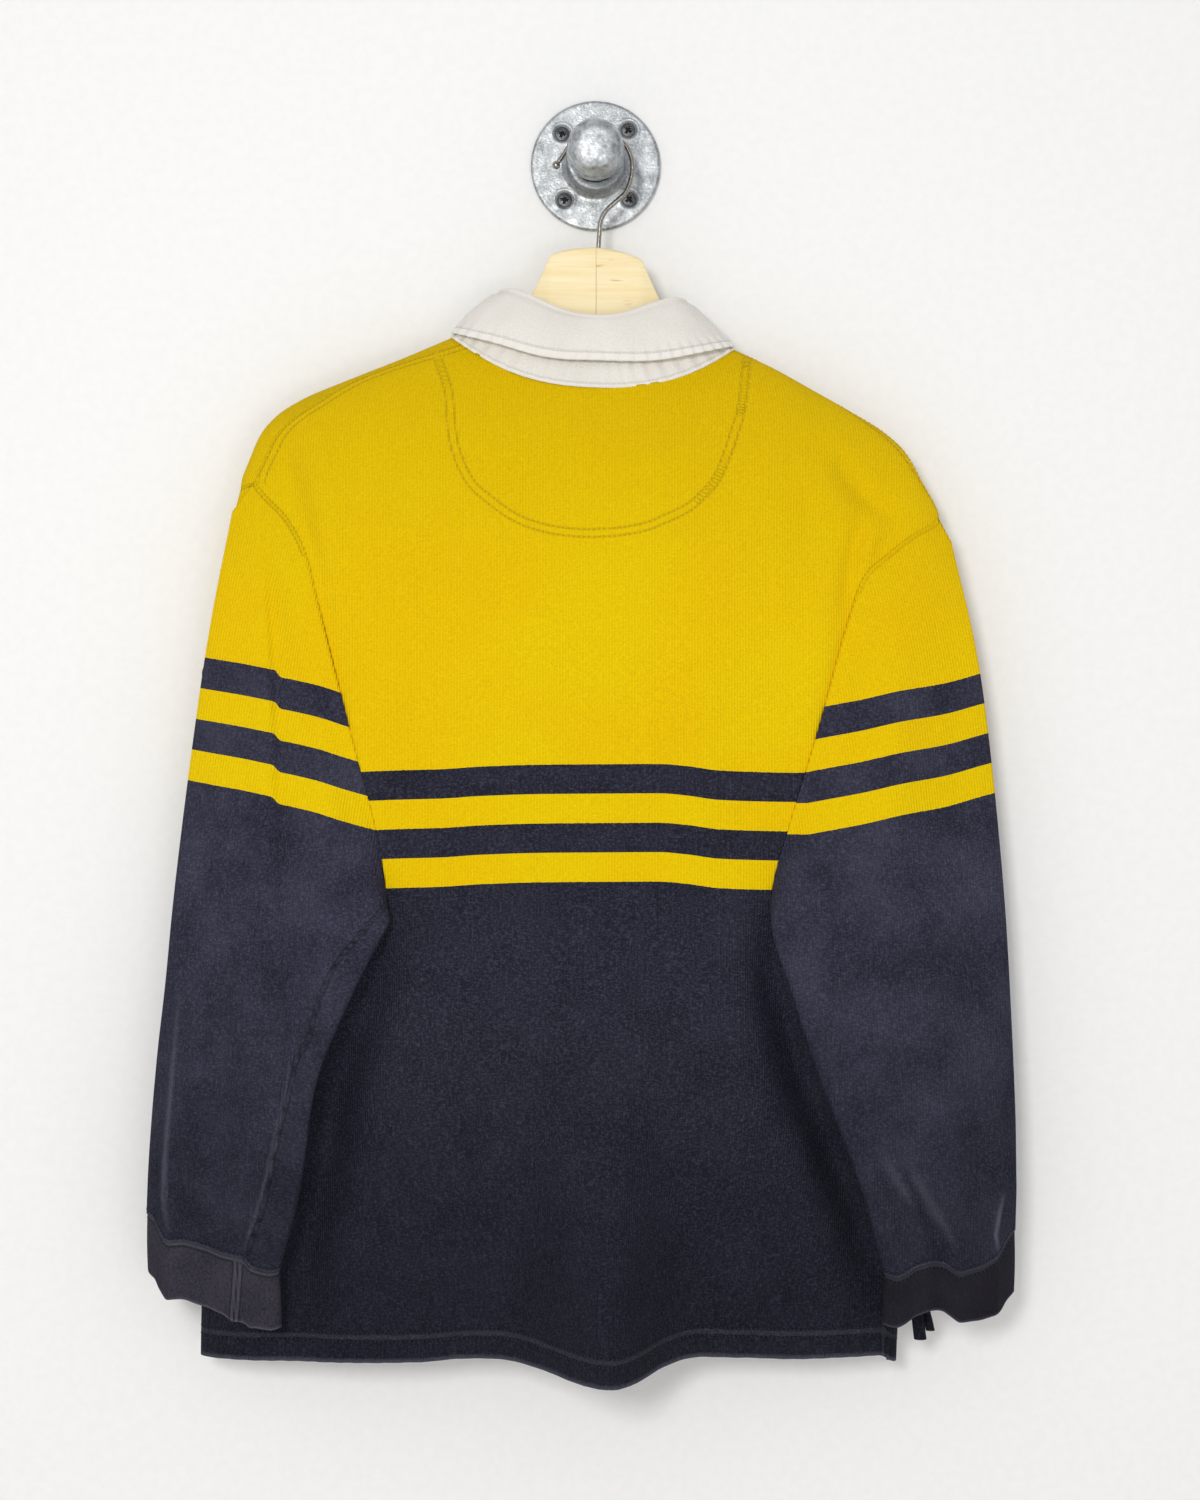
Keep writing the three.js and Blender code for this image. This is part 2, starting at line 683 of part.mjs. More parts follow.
// Hanger halves
function makeHangerHalf(side) {
  const rings = hangerSections.map((section) => {
    const x = side * section.reach + hangerMiddleX;
    const tilt = -Math.tan(collarTilt) * side * section.reach;
    const top = section.topZ + tilt;
    const bottom = section.bottomZ + tilt;
    const near = hangerPlaneY - section.half;
    const far = hangerPlaneY + section.half;
    const ring = [
      [near + hangerBevel, top], [far - hangerBevel, top], [far, top - hangerBevel],
      [far, bottom + hangerBevel], [far - hangerBevel, bottom], [near + hangerBevel, bottom],
      [near, bottom + hangerBevel], [near, top - hangerBevel],
    ].map(([py, pz]) => new THREE.Vector3(x, py, pz));
    return side > 0 ? ring.reverse() : ring;
  });
  return barThrough(rings);
}

function makeHook() {
  const stations = hookRoute.map((p) => new THREE.Vector3(p.x, hookPlaneY, p.z));
  const route = new THREE.CatmullRomCurve3(stations);
  const section = new THREE.Shape();
  section.absarc(0, 0, wireRadius, 0, 2 * Math.PI);
  const settings = { steps: 36, curveSegments: 4, extrudePath: route };
  const wire = new THREE.ExtrudeGeometry(section, settings);
  const ball = new THREE.SphereGeometry(ballRadius, 12, 8);
  const end = route.getPoint(1);
  ball.translate(end.x - 1.6, hookPlaneY, end.z - 2.2);
  return toGeometry(toSolid(wire).add(toSolid(ball)));
}

// Parts turned on the pipe's axis: profile as [radius, distance from the wall]
function turned(profile, segments) {
  const points = profile.map(([radius, distance]) => new THREE.Vector2(radius, distance));
  const geometry = new THREE.LatheGeometry(points, segments);
  geometry.rotateX(Math.PI);
  return geometry;
}

const screwPlaces = [
  { x: -23, z: 22 }, { x: 22.3, z: 24.5 }, { x: -21.2, z: -23.3 }, { x: 23, z: -22.8 },
];

function makeFlange() {
  const inside = nippleRadius + threadClearance;
  const profile = [
    [0, 0], [flangeRadius - 0.8, 0], [flangeRadius, 1], [flangeRadius - 0.6, flangeThickness],
    [bossRadius + 4, flangeThickness], [bossRadius + 0.8, flangeThickness + 3],
    [bossRadius, bossHeight - 1], [bossRadius - 1, bossHeight], [inside, bossHeight],
    [inside, flangeWeb], [0, flangeWeb],
  ];
  let solid = toSolid(turned(profile, 36));
  for (const place of screwPlaces) {
    const hole = new THREE.CylinderGeometry(screwHoleRadius, screwHoleRadius, 30, 12);
    hole.translate(place.x, 0, place.z);
    solid = solid.subtract(toSolid(hole));
  }
  return toGeometry(solid);
}

function makeNipple() {
  const start = flangeWeb + threadClearance;
  const profile = [
    [nippleBore, start], [nippleRadius, start], [nippleRadius, nippleEnd], [nippleBore, nippleEnd],
    [nippleBore, start],
  ];
  return turned(profile, 28);
}

function makeCap() {
  const inside = nippleRadius + threadClearance;
  const beadEnd = capStart + capBeadLength;
  const profile = [
    [0, nippleEnd + 0.4], [inside, nippleEnd + 0.4], [inside, capStart], [capBeadRadius - 0.6, capStart],
    [capBeadRadius, capStart + 0.8], [capBeadRadius, beadEnd], [capRadius, beadEnd + 1],
    [capRadius, capEnd - 7], [capRadius - 1.2, capEnd - 3.2], [capRadius - 4, capEnd - 1.2],
    [9, capEnd - 0.3], [0, capEnd],
  ];
  return turned(profile, 28);
}

// The head stands on the flange's face with its rim, and its top is domed
function makeScrew() {
  const head = flangeThickness + 0.3;
  const profile = [
    [0, 0.2], [screwShankRadius, 0.2], [screwShankRadius, head], [screwHeadRadius, head],
    [screwHeadRadius, head + 0.8], [screwHeadRadius - 1, head + 2.2], [screwShankRadius, head + 2.9],
    [0, head + 3],
  ];
  return turned(profile, 14);
}

function makeButton() {
  return new THREE.CylinderGeometry(buttonRadius, buttonRadius, buttonThickness, 16);
}

// Assembly
const shirt = new THREE.Group();

function addPart(name, geometry, colour, roughness, metalness = 0) {
  const material = new THREE.MeshStandardMaterial({ color: colour, roughness, metalness });
  const mesh = new THREE.Mesh(geometry, material);
  mesh.name = name;
  shirt.add(mesh);
  return mesh;
}

addPart('back_panel', makeBackPanel(), colours.yellow, 0.9);
addPart('front_panel', makeFrontPanel(), colours.navy, 0.9);
const sleeveTables = {
  left: { sections: sleeveLeftSections, wave: cuffWaveLeft, depth: cuffDepthLeft, lean: 0.02 },
  right: { sections: sleeveRightSections, wave: cuffWaveRight, depth: cuffDepthRight, lean: -0.02 },
};
for (const [side, tables] of Object.entries(sleeveTables)) {
  const rows = sleeveRows(side, tables.sections, curve(tables.wave, 'x', 'rise'));
  const direction = new THREE.Vector3(tables.lean, 0, -1).normalize();
  const cuff = makeCuff(rows[rows.length - 1], direction, curve(tables.depth, 'x', 'depth'));
  // the right sleeve's rings run the other way round so that both face outwards
  const facing = (ring) => (side === 'left' ? ring : [ring[0], ...ring.slice(1).reverse()]);
  const sleeve = clothWall(rows.map(facing), bodyCloth, { round: true });
  addPart(`sleeve_${side}`, sleeve, colours.navy, 0.9);
  addPart(`cuff_${side}`, clothWall(cuff.map(facing), bodyCloth, { round: true }), colours.navy, 0.9);
}
addPart('collar_stand', makeCollarStand(), colours.collar, 0.9);
addPart('collar_leaf', makeCollarLeaf(), colours.collar, 0.9);
const outerBand = makePlacket(bandCloth + 0.4, placketWidth, placketLength);
const underBand = makePlacket(-bodyCloth - 0.5, placketWidth - 6, placketLength - 10);
addPart('placket_outer', outerBand, colours.collar, 0.9);
addPart('placket_under', underBand, colours.collar, 0.9);
for (let n = 0; n < 3; n += 1) {
  const z = buttonTop - buttonSpacing * n;
  const over = bodyOver(neckCentreX - 2, z, false);
  const button = addPart(`button_${n + 1}`, makeButton(), colours.button, 0.5);
  button.position.set(over.x, over.y + bandCloth + 1.8, z);
}
addPart('hanger_left', makeHangerHalf(-1), colours.pine, 0.6);
addPart('hanger_right', makeHangerHalf(1), colours.pine, 0.6);
addPart('hanger_hook', makeHook(), colours.wire, 0.4, 0.9);
addPart('wall_flange', makeFlange(), colours.galvanised, 0.5, 0.9);
addPart('pipe_nipple', makeNipple(), colours.galvanised, 0.5, 0.9);
addPart('pipe_cap', makeCap(), colours.galvanised, 0.5, 0.9);
screwPlaces.forEach((place, n) => {
  const screw = addPart(`screw_${n + 1}`, makeScrew(), colours.screw, 0.4, 0.9);
  screw.position.set(place.x, 0, place.z);
});

export default shirt;
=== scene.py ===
import math

import bpy
import numpy as np
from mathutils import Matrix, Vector
from mathutils.bvhtree import BVHTree


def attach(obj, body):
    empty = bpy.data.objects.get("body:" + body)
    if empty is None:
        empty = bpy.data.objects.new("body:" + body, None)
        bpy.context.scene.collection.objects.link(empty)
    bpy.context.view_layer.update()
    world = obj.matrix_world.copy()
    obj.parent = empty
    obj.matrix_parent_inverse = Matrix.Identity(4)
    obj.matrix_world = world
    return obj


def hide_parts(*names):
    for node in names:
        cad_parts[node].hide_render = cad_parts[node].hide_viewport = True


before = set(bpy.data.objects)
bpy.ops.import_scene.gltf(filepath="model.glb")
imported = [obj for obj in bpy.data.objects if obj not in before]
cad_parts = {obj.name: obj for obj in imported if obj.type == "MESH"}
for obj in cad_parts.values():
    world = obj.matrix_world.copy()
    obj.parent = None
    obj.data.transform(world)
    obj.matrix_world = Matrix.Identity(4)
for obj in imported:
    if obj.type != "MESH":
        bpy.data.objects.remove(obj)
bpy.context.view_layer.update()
print("frame loaded")

# Every table below is in millimetres, in the frame's axes: the shirt's back faces -Y, the wall is y = 0.
millimetre = 0.001


def hexColour(code):
    # sRGB hex to the linear values that shaders want
    parts = [int(code[i:i + 2], 16) / 255 for i in (1, 3, 5)]
    return tuple(c / 12.92 if c <= 0.04045 else ((c + 0.055) / 1.055) ** 2.4 for c in parts) + (1.0,)


def mix(a, b, t):
    return a + (b - a) * t


def ease(t):
    c = np.clip(t, 0, 1)
    return c * c * (3 - 2 * c)


def signedPower(value, power):
    return np.sign(value) * np.abs(value) ** power


def curve(keys, values):
    # smooth line through a table's column that never overshoots between two rows
    keys, values = np.array(keys, float), np.array(values, float)
    steps = np.diff(values) / np.diff(keys)
    slopes = np.zeros(len(keys))
    slopes[0], slopes[-1] = steps[0], steps[-1]
    for i in range(1, len(keys) - 1):
        same = steps[i - 1] * steps[i] > 0
        slopes[i] = 2 * steps[i - 1] * steps[i] / (steps[i - 1] + steps[i]) if same else 0

    def at(key):
        k = np.clip(key, keys[0], keys[-1])
        i = np.clip(np.searchsorted(keys, k, side="right") - 1, 0, len(keys) - 2)
        span = keys[i + 1] - keys[i]
        t = (k - keys[i]) / span
        a = values[i] * (1 + 2 * t) * (1 - t) ** 2 + values[i + 1] * t * t * (3 - 2 * t)
        return a + span * (slopes[i] * t * (1 - t) ** 2 - slopes[i + 1] * t * t * (1 - t))
    return at


def curvesOf(columns, rows):
    names = columns.split()
    keys = [row[0] for row in rows]
    return {name: curve(keys, [row[n + 1] for row in rows]) for n, name in enumerate(names[1:])}


def pathThrough(points, step):
    # evenly spaced points along a smooth line through a few
    points = np.array(points, float)
    lengths = np.concatenate([[0], np.cumsum(np.linalg.norm(np.diff(points, axis=0), axis=1))])
    columns = [curve(lengths, points[:, n]) for n in range(points.shape[1])]
    fine = np.linspace(0, lengths[-1], 800)
    line = np.stack([c(fine) for c in columns], axis=1)
    run = np.concatenate([[0], np.cumsum(np.linalg.norm(np.diff(line, axis=0), axis=1))])
    marks = np.linspace(0, run[-1], max(2, int(round(run[-1] / step)) + 1))
    return np.stack([np.interp(marks, run, line[:, n]) for n in range(points.shape[1])], axis=1)


def distanceTo(x, z, line):
    # distance in the x-z plane to a polyline, how far along it the nearest point lies (0 to 1), and on
    # which side of it: 1 is to the right of a line that runs down
    best = np.full(np.shape(x), 1e9)
    along, side = np.zeros(np.shape(x)), np.ones(np.shape(x))
    for n in range(len(line) - 1):
        (ax, az), (bx, bz) = line[n], line[n + 1]
        dx, dz = bx - ax, bz - az
        t = np.clip(((x - ax) * dx + (z - az) * dz) / (dx * dx + dz * dz), 0, 1)
        d = np.hypot(x - ax - t * dx, z - az - t * dz)
        nearer = d < best
        best = np.where(nearer, d, best)
        along = np.where(nearer, (n + t) / (len(line) - 1), along)
        side = np.where(nearer, np.sign(dx * (z - az) - dz * (x - ax)), side)
    return best, along, side


# The photo's camera, which also turns points of the photo into places on the shirt
view = dict(x=3.0, y=-1850.0, z=-400.5, focal=2693.0, width=1200, height=1500, sensor=36.0)


def fromPhoto(px, py, y):
    scale = (y - view["y"]) / view["focal"]
    return (view["x"] + (px - view["width"] / 2) * scale, view["z"] - (py - view["height"] / 2) * scale)


def photoLine(points, y):
    return [fromPhoto(px, py, y) for px, py in points]


camera = bpy.data.objects.new("camera", bpy.data.cameras.new("camera"))
camera.data.sensor_width = view["sensor"]
camera.data.lens = view["focal"] / view["height"] * view["sensor"]
camera.location = (view["x"] * millimetre, view["y"] * millimetre, view["z"] * millimetre)
camera.rotation_euler = (math.pi / 2, 0, 0)
bpy.context.collection.objects.link(camera)
bpy.context.scene.camera = camera
print("camera set")


# Meshes


def gridMesh(name, points, coords=None, closed=False, keep=None, **layers):
    # rows of points as a sheet of quads whose faces look outwards; coords are cloth coordinates in mm
    rows, cols = points.shape[:2]
    across = cols if closed else cols - 1
    j, i = np.meshgrid(np.arange(rows - 1), np.arange(across), indexing="ij")
    if keep is not None:
        chosen = keep(j, i)
        j, i = j[chosen], i[chosen]
    j, i = j.ravel(), i.ravel()
    following = (i + 1) % cols
    quads = np.stack([j * cols + i, (j + 1) * cols + i, (j + 1) * cols + following, j * cols + following], axis=1)
    mesh = bpy.data.meshes.new(name)
    mesh.from_pydata((points.reshape(-1, 3) * millimetre).tolist(), [], quads.tolist())
    if coords is not None:
        layer = mesh.uv_layers.new(name="cloth")
        wide = coords.shape[1]
        spots = np.stack([j * wide + i, (j + 1) * wide + i, (j + 1) * wide + i + 1, j * wide + i + 1], axis=1)
        layer.data.foreach_set("uv", (coords.reshape(-1, 2)[spots.ravel()] * millimetre).ravel().astype(np.float32))
    for title, values in layers.items():
        layer = mesh.attributes.new(title, "FLOAT", "POINT")
        spread = np.broadcast_to(values, points.shape[:2])
        layer.data.foreach_set("value", spread.ravel().astype(np.float32))
    mesh.shade_smooth()
    loose = bpy.data.objects.new(name, mesh)
    bpy.context.collection.objects.link(loose)
    return loose


def rawMesh(name, points, faces, scale=millimetre, smooth=True):
    mesh = bpy.data.meshes.new(name)
    mesh.from_pydata([tuple(np.array(p) * scale) for p in points], [], faces)
    if smooth:
        mesh.shade_smooth()
    made = bpy.data.objects.new(name, mesh)
    bpy.context.collection.objects.link(made)
    return made


def thicken(piece, thickness):
    wall = piece.modifiers.new("cloth wall", "SOLIDIFY")
    wall.thickness = thickness * millimetre
    wall.offset = -1
    wall.use_even_offset = False
    return piece


def dress(piece, material, slotName, *nodes):
    piece.data.materials.clear()
    piece.data.materials.append(material)
    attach(piece, "root")
    if nodes:
        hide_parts(*nodes)
    return piece


# Materials


def addNode(tree, kind, inputs=None, **settings):
    # one node with its settings, and a value, a node or a socket for each of its inputs
    made = tree.nodes.new(kind)
    for key, value in settings.items():
        setattr(made, key, value)
    for key, value in (inputs or {}).items():
        if isinstance(value, bpy.types.Node):
            value = value.outputs[0]
        if isinstance(value, bpy.types.NodeSocket):
            tree.links.new(value, made.inputs[key])
        else:
            made.inputs[key].default_value = value
    return made


def newMaterial(name):
    material = bpy.data.materials.new(name)
    material.use_nodes = True
    tree = material.node_tree
    tree.nodes.clear()
    shader = addNode(tree, "ShaderNodeBsdfPrincipled")
    addNode(tree, "ShaderNodeOutputMaterial", {"Surface": shader})
    return material, tree, shader


# The twin-needle seams: a groove under each row of stitches, and a raised band between the rows
seamShape = dict(groove=2.65, grooveWidth=1.0, bandFrom=1.2, bandTo=2.4)


def seamRelief(tree):
    distance = addNode(tree, "ShaderNodeAttribute", attribute_name="seam").outputs["Fac"]
    off = addNode(tree, "ShaderNodeMath", {0: distance, 1: seamShape["groove"]}, operation="SUBTRACT")
    away = addNode(tree, "ShaderNodeMath", {0: off}, operation="ABSOLUTE")
    groove = addNode(tree, "ShaderNodeMapRange", {
        "Value": away, "From Min": 0.15, "From Max": seamShape["grooveWidth"], "To Min": 1, "To Max": 0})
    band = addNode(tree, "ShaderNodeMapRange", {
        "Value": distance, "From Min": seamShape["bandFrom"], "From Max": seamShape["bandTo"], "To Min": 1, "To Max": 0})
    return groove, band


# Cotton jersey, weft knitted, yarn dyed and washed many times: fine ribs run down it, its face is dry and slightly
# fuzzy with no shine, pale fibres fleck the navy, and edges are rubbed pale. Its colour also holds painted shade,
# darker yellow towards the shoulders, darker navy towards the hem, darker stitch grooves and rib valleys, and painted
# highlights along some fold ridges, which are also rubbed pale
jersey = dict(
    ribPitch=1.9,  # the real ribs are about 0.8 mm apart, drawn coarser so that they show
    ribHeight=0.25,
    fleckSize=1.4,  # tufts of fibre, really about 0.5 mm across, drawn coarser for the same reason
    fleckScale=(0.75, 1.0, 1.25),  # the tufts lie along the knit's courses
    cloudSize=40.0,
    warmSize=90.0,
    stripeTop=-412.5,
    stripePitch=19.4,
    edgeWander=0.35,
    yellow="#e8c600",
    # painted shade: the darker yellow mixed in towards the shoulders
    yellowShaded="#d8b400",
    yellowWarm="#e9bd00",
    navyRubbedAndHighlit="#666977",
    paintedShadeFrom=-560.0,  # painted shade: from here down the navy is painted darker, where less light falls on the lower cloth
    paintedShadeTo=-760.0,
)


def jerseyMaterial(name, navy, navyPale, clouds, bandWear):
    material, tree, shader = newMaterial(name)
    split = addNode(tree, "ShaderNodeSeparateXYZ", {0: addNode(tree, "ShaderNodeUVMap", uv_map="cloth")})
    across, along = split.outputs[0], split.outputs[1]
    place = addNode(tree, "ShaderNodeTexCoord").outputs["Object"]
    courses = addNode(tree, "ShaderNodeMapping", {"Vector": place, "Scale": jersey["fleckScale"]})
    fleck = addNode(tree, "ShaderNodeTexNoise", {
        "Vector": courses, "Scale": 1000 / jersey["fleckSize"], "Detail": 3, "Roughness": 0.75})
    cloud = addNode(tree, "ShaderNodeTexNoise", {
        "Vector": place, "Scale": 1000 / jersey["cloudSize"], "Detail": 5, "Roughness": 0.6})
    broad = addNode(tree, "ShaderNodeTexNoise", {"Vector": place, "Scale": 1000 / jersey["warmSize"], "Detail": 2})
    # stripes by height: 0 is the yellow top, then navy and yellow by turns, and 5 is the navy rest
    wander = addNode(tree, "ShaderNodeMath", {0: fleck, 1: 0.5}, operation="SUBTRACT")
    height = addNode(tree, "ShaderNodeMath", {
        0: wander, 1: jersey["edgeWander"] * millimetre * 2, 2: along}, operation="MULTIPLY_ADD")
    stripe = addNode(tree, "ShaderNodeMapRange", {
        "Value": height, "From Min": (jersey["stripeTop"] + jersey["stripePitch"]) * millimetre,
        "From Max": (jersey["stripeTop"] - 4 * jersey["stripePitch"]) * millimetre, "To Min": 0, "To Max": 5})
    band = addNode(tree, "ShaderNodeMath", {0: stripe}, operation="FLOOR")
    isNavy = addNode(tree, "ShaderNodeMath", {0: band, 1: 2.0}, operation="MODULO")
    warm = addNode(tree, "ShaderNodeMapRange", {"Value": broad, "From Min": 0.4, "From Max": 0.68, "To Min": 0, "To Max": 0.8})
    # the tone attribute is painted shade: it mixes in a darker yellow towards the shoulders, where the cloth turns from
    # the light
    tone = addNode(tree, "ShaderNodeAttribute", attribute_name="tone").outputs["Fac"]
    plain = addNode(tree, "ShaderNodeMix", {
        0: warm, 6: hexColour(jersey["yellow"]), 7: hexColour(jersey["yellowWarm"])}, data_type="RGBA")
    yellowTone = addNode(tree, "ShaderNodeMix", {
        0: tone, 6: plain.outputs[2], 7: hexColour(jersey["yellowShaded"])}, data_type="RGBA")
    fibres = addNode(tree, "ShaderNodeMapRange", {
        "Value": fleck, "From Min": 0.46, "From Max": 0.72, "To Min": 0, "To Max": 0.8})
    faded = addNode(tree, "ShaderNodeMapRange", {
        "Value": cloud, "From Min": 0.36, "From Max": 0.72, "To Min": 0, "To Max": clouds})
    pale = addNode(tree, "ShaderNodeMath", {0: fibres, 1: faded}, operation="ADD", use_clamp=True)
    navyTone = addNode(tree, "ShaderNodeMix", {0: pale, 6: hexColour(navy), 7: hexColour(navyPale)}, data_type="RGBA")
    # painted shade: the navy darkens towards the hem, where less light falls
    lowNavyShade = addNode(tree, "ShaderNodeMapRange", {
        "Value": along, "From Min": jersey["paintedShadeFrom"] * millimetre, "From Max": jersey["paintedShadeTo"] * millimetre,
        "To Min": 1.0, "To Max": 0.62})
    navyShadedLow = addNode(tree, "ShaderNodeHueSaturation", {"Color": navyTone.outputs[2], "Value": lowNavyShade})
    groove, raised = seamRelief(tree)
    # the worn attribute: rubbed hem and seam edges, and on the sleeves pale lines along fold ridges that are painted
    # highlights as well as rubbing
    rubbed = addNode(tree, "ShaderNodeAttribute", attribute_name="worn").outputs["Fac"]
    wear = addNode(tree, "ShaderNodeMath", {0: raised, 1: bandWear, 2: rubbed}, operation="MULTIPLY_ADD", use_clamp=True)
    navyRubbedAndHighlit = addNode(tree, "ShaderNodeMix", {0: wear, 6: navyShadedLow, 7: hexColour(jersey["navyRubbedAndHighlit"])}, data_type="RGBA")
    cloth = addNode(tree, "ShaderNodeMix", {0: isNavy, 6: yellowTone.outputs[2], 7: navyRubbedAndHighlit.outputs[2]}, data_type="RGBA")
    heather = addNode(tree, "ShaderNodeMapRange", {
        "Value": fleck, "From Min": 0.3, "From Max": 0.7, "To Min": 0.87, "To Max": 1.1})
    ribPhase = addNode(tree, "ShaderNodeMath", {
        0: across, 1: 2 * math.pi * 1000 / jersey["ribPitch"]}, operation="MULTIPLY")
    ribs = addNode(tree, "ShaderNodeMath", {0: ribPhase}, operation="SINE")
    # painted shade: the rib valleys are painted a little darker and the ridges lighter, in step with the bump; the
    # heather is the fibres' own fleck
    ribShadeAndHeather = addNode(tree, "ShaderNodeMath", {0: ribs, 1: 0.04, 2: heather}, operation="MULTIPLY_ADD")
    # painted shade in the stitch grooves, stronger on navy than on yellow
    grooveShade = addNode(tree, "ShaderNodeMapRange", {"Value": isNavy, "From Min": 0, "From Max": 1, "To Min": -0.09, "To Max": -0.3})
    valueWithShade = addNode(tree, "ShaderNodeMath", {0: groove, 1: grooveShade, 2: ribShadeAndHeather}, operation="MULTIPLY_ADD")
    shaded = addNode(tree, "ShaderNodeHueSaturation", {"Color": cloth.outputs[2], "Value": valueWithShade})
    relief = addNode(tree, "ShaderNodeMath", {0: fleck, 1: 1.1, 2: ribs}, operation="MULTIPLY_ADD")
    relief = addNode(tree, "ShaderNodeMath", {0: groove, 1: -3.0, 2: relief}, operation="MULTIPLY_ADD")
    relief = addNode(tree, "ShaderNodeMath", {0: raised, 1: 1.6, 2: relief}, operation="MULTIPLY_ADD")
    bump = addNode(tree, "ShaderNodeBump", {
        "Strength": 0.7, "Distance": jersey["ribHeight"] * millimetre, "Height": relief})
    tree.links.new(shaded.outputs[0], shader.inputs["Base Color"])
    tree.links.new(bump.outputs[0], shader.inputs["Normal"])
    shader.inputs["Roughness"].default_value = 0.95
    shader.inputs["Specular IOR Level"].default_value = 0.12
    return material


bodyJersey = jerseyMaterial("cotton jersey, body", "#1d1d2a", "#474857", 0.14, 0.12)
sleeveJersey = jerseyMaterial("cotton jersey, sleeves", "#242432", "#4c4c5e", 0.42, 0.2)


def plainCloth(name, look):
    # a cloth of one colour: its fibres and its fading mix two tones, and a twill has slanted lines
    material, tree, shader = newMaterial(name)
    where = addNode(tree, "ShaderNodeUVMap", uv_map="cloth")
    fleck = addNode(tree, "ShaderNodeTexNoise", {"Vector": where, "Scale": 1000 / look["fleckSize"], "Detail": 3})
    cloud = addNode(tree, "ShaderNodeTexNoise", {"Vector": where, "Scale": 1000 / look["cloudSize"], "Detail": 4})
    both = addNode(tree, "ShaderNodeMath", {0: cloud, 1: 0.6, 2: fleck}, operation="MULTIPLY_ADD")
    level = addNode(tree, "ShaderNodeMapRange", {"Value": both, "From Min": 0.55, "From Max": 1.05, "To Min": 0, "To Max": 1})
    dyed = addNode(tree, "ShaderNodeMix", {0: level, 6: hexColour(look["dark"]), 7: hexColour(look["pale"])}, data_type="RGBA")
    groove, raised = seamRelief(tree)
    rubbed = addNode(tree, "ShaderNodeAttribute", attribute_name="worn").outputs["Fac"]
    wear = addNode(tree, "ShaderNodeMath", {0: raised, 1: look["bandWear"], 2: rubbed}, operation="MULTIPLY_ADD", use_clamp=True)
    cloth = addNode(tree, "ShaderNodeMix", {0: wear, 6: dyed.outputs[2], 7: hexColour(look["worn"])}, data_type="RGBA")
    # painted shade in the stitch grooves
    valueWithShade = addNode(tree, "ShaderNodeMath", {0: groove, 1: -look["grooveShade"], 2: 1.0}, operation="MULTIPLY_ADD")
    shaded = addNode(tree, "ShaderNodeHueSaturation", {"Color": cloth.outputs[2], "Value": valueWithShade})
    tree.links.new(shaded.outputs[0], shader.inputs["Base Color"])
    turned = addNode(tree, "ShaderNodeMapping", {"Vector": where, "Rotation": (0, 0, look["lineTurn"])})
    lines = addNode(tree, "ShaderNodeSeparateXYZ", {0: turned})
    phase = addNode(tree, "ShaderNodeMath", {0: lines, 1: 2 * math.pi * 1000 / look["linePitch"]}, operation="MULTIPLY")
    wave = addNode(tree, "ShaderNodeMath", {0: phase}, operation="SINE")
    relief = addNode(tree, "ShaderNodeMath", {0: groove, 1: -3.0, 2: fleck}, operation="MULTIPLY_ADD")
    relief = addNode(tree, "ShaderNodeMath", {0: raised, 1: 1.2, 2: relief}, operation="MULTIPLY_ADD")
    relief = addNode(tree, "ShaderNodeMath", {0: wave, 1: 0.35, 2: relief}, operation="MULTIPLY_ADD")
    bump = addNode(tree, "ShaderNodeBump", {"Strength": 0.6, "Distance": 0.22 * millimetre, "Height": relief})
    tree.links.new(bump.outputs[0], shader.inputs["Normal"])
    shader.inputs["Roughness"].default_value = 0.92
    shader.inputs["Specular IOR Level"].default_value = 0.2
    return material


# Cotton twill, woven and bleached: a smooth, faintly grey white with steep fine lines
collarTwill = plainCloth("cotton twill, bleached", dict(
    dark="#dfdad2", pale="#ebe8e0", worn="#f0eee8", bandWear=0.4, grooveShade=0.1,
    fleckSize=1.3, cloudSize=30.0, lineTurn=math.radians(45), linePitch=1.4))  # real lines are 0.5 mm apart
# The cuffs are the same jersey doubled, more rubbed: their navy has gone brownish, and the fold is pale
cuffLooks = dict(
    left=dict(dark="#1f1e27", pale="#3b3842", worn="#5d5b67", bandWear=0.3, grooveShade=0.5,
              fleckSize=1.8, cloudSize=26.0, lineTurn=0.0, linePitch=1.9),
    right=dict(dark="#121118", pale="#24222b", worn="#4a4856", bandWear=0.3, grooveShade=0.5,
               fleckSize=1.8, cloudSize=26.0, lineTurn=0.0, linePitch=1.9))
cuffJersey = {side: plainCloth("cotton jersey, " + side + " cuff", look) for side, look in cuffLooks.items()}


def mottledMaterial(name, look):
    # two tones mixed by a fine noise, which also gives the surface its unevenness
    material, tree, shader = newMaterial(name)
    place = addNode(tree, "ShaderNodeTexCoord").outputs["Object"]
    noise = addNode(tree, "ShaderNodeTexNoise", {"Vector": place, "Scale": 1000 / look["size"], "Detail": 4, "Roughness": 0.6})
    level = addNode(tree, "ShaderNodeMapRange", {"Value": noise, "From Min": 0.35, "From Max": 0.65, "To Min": 0, "To Max": 1})
    both = addNode(tree, "ShaderNodeMix", {0: level, 6: hexColour(look["dark"]), 7: hexColour(look["pale"])}, data_type="RGBA")
    tree.links.new(both.outputs[2], shader.inputs["Base Color"])
    rough = addNode(tree, "ShaderNodeMapRange", {
        "Value": noise, "From Min": 0.3, "From Max": 0.7, "To Min": look["roughness"] - 0.06, "To Max": look["roughness"] + 0.06})
    tree.links.new(rough.outputs[0], shader.inputs["Roughness"])
    bump = addNode(tree, "ShaderNodeBump", {"Strength": 0.4, "Distance": look["height"] * millimetre, "Height": noise})
    tree.links.new(bump.outputs[0], shader.inputs["Normal"])
    shader.inputs["Metallic"].default_value = look.get("metallic", 0.0)
    return material


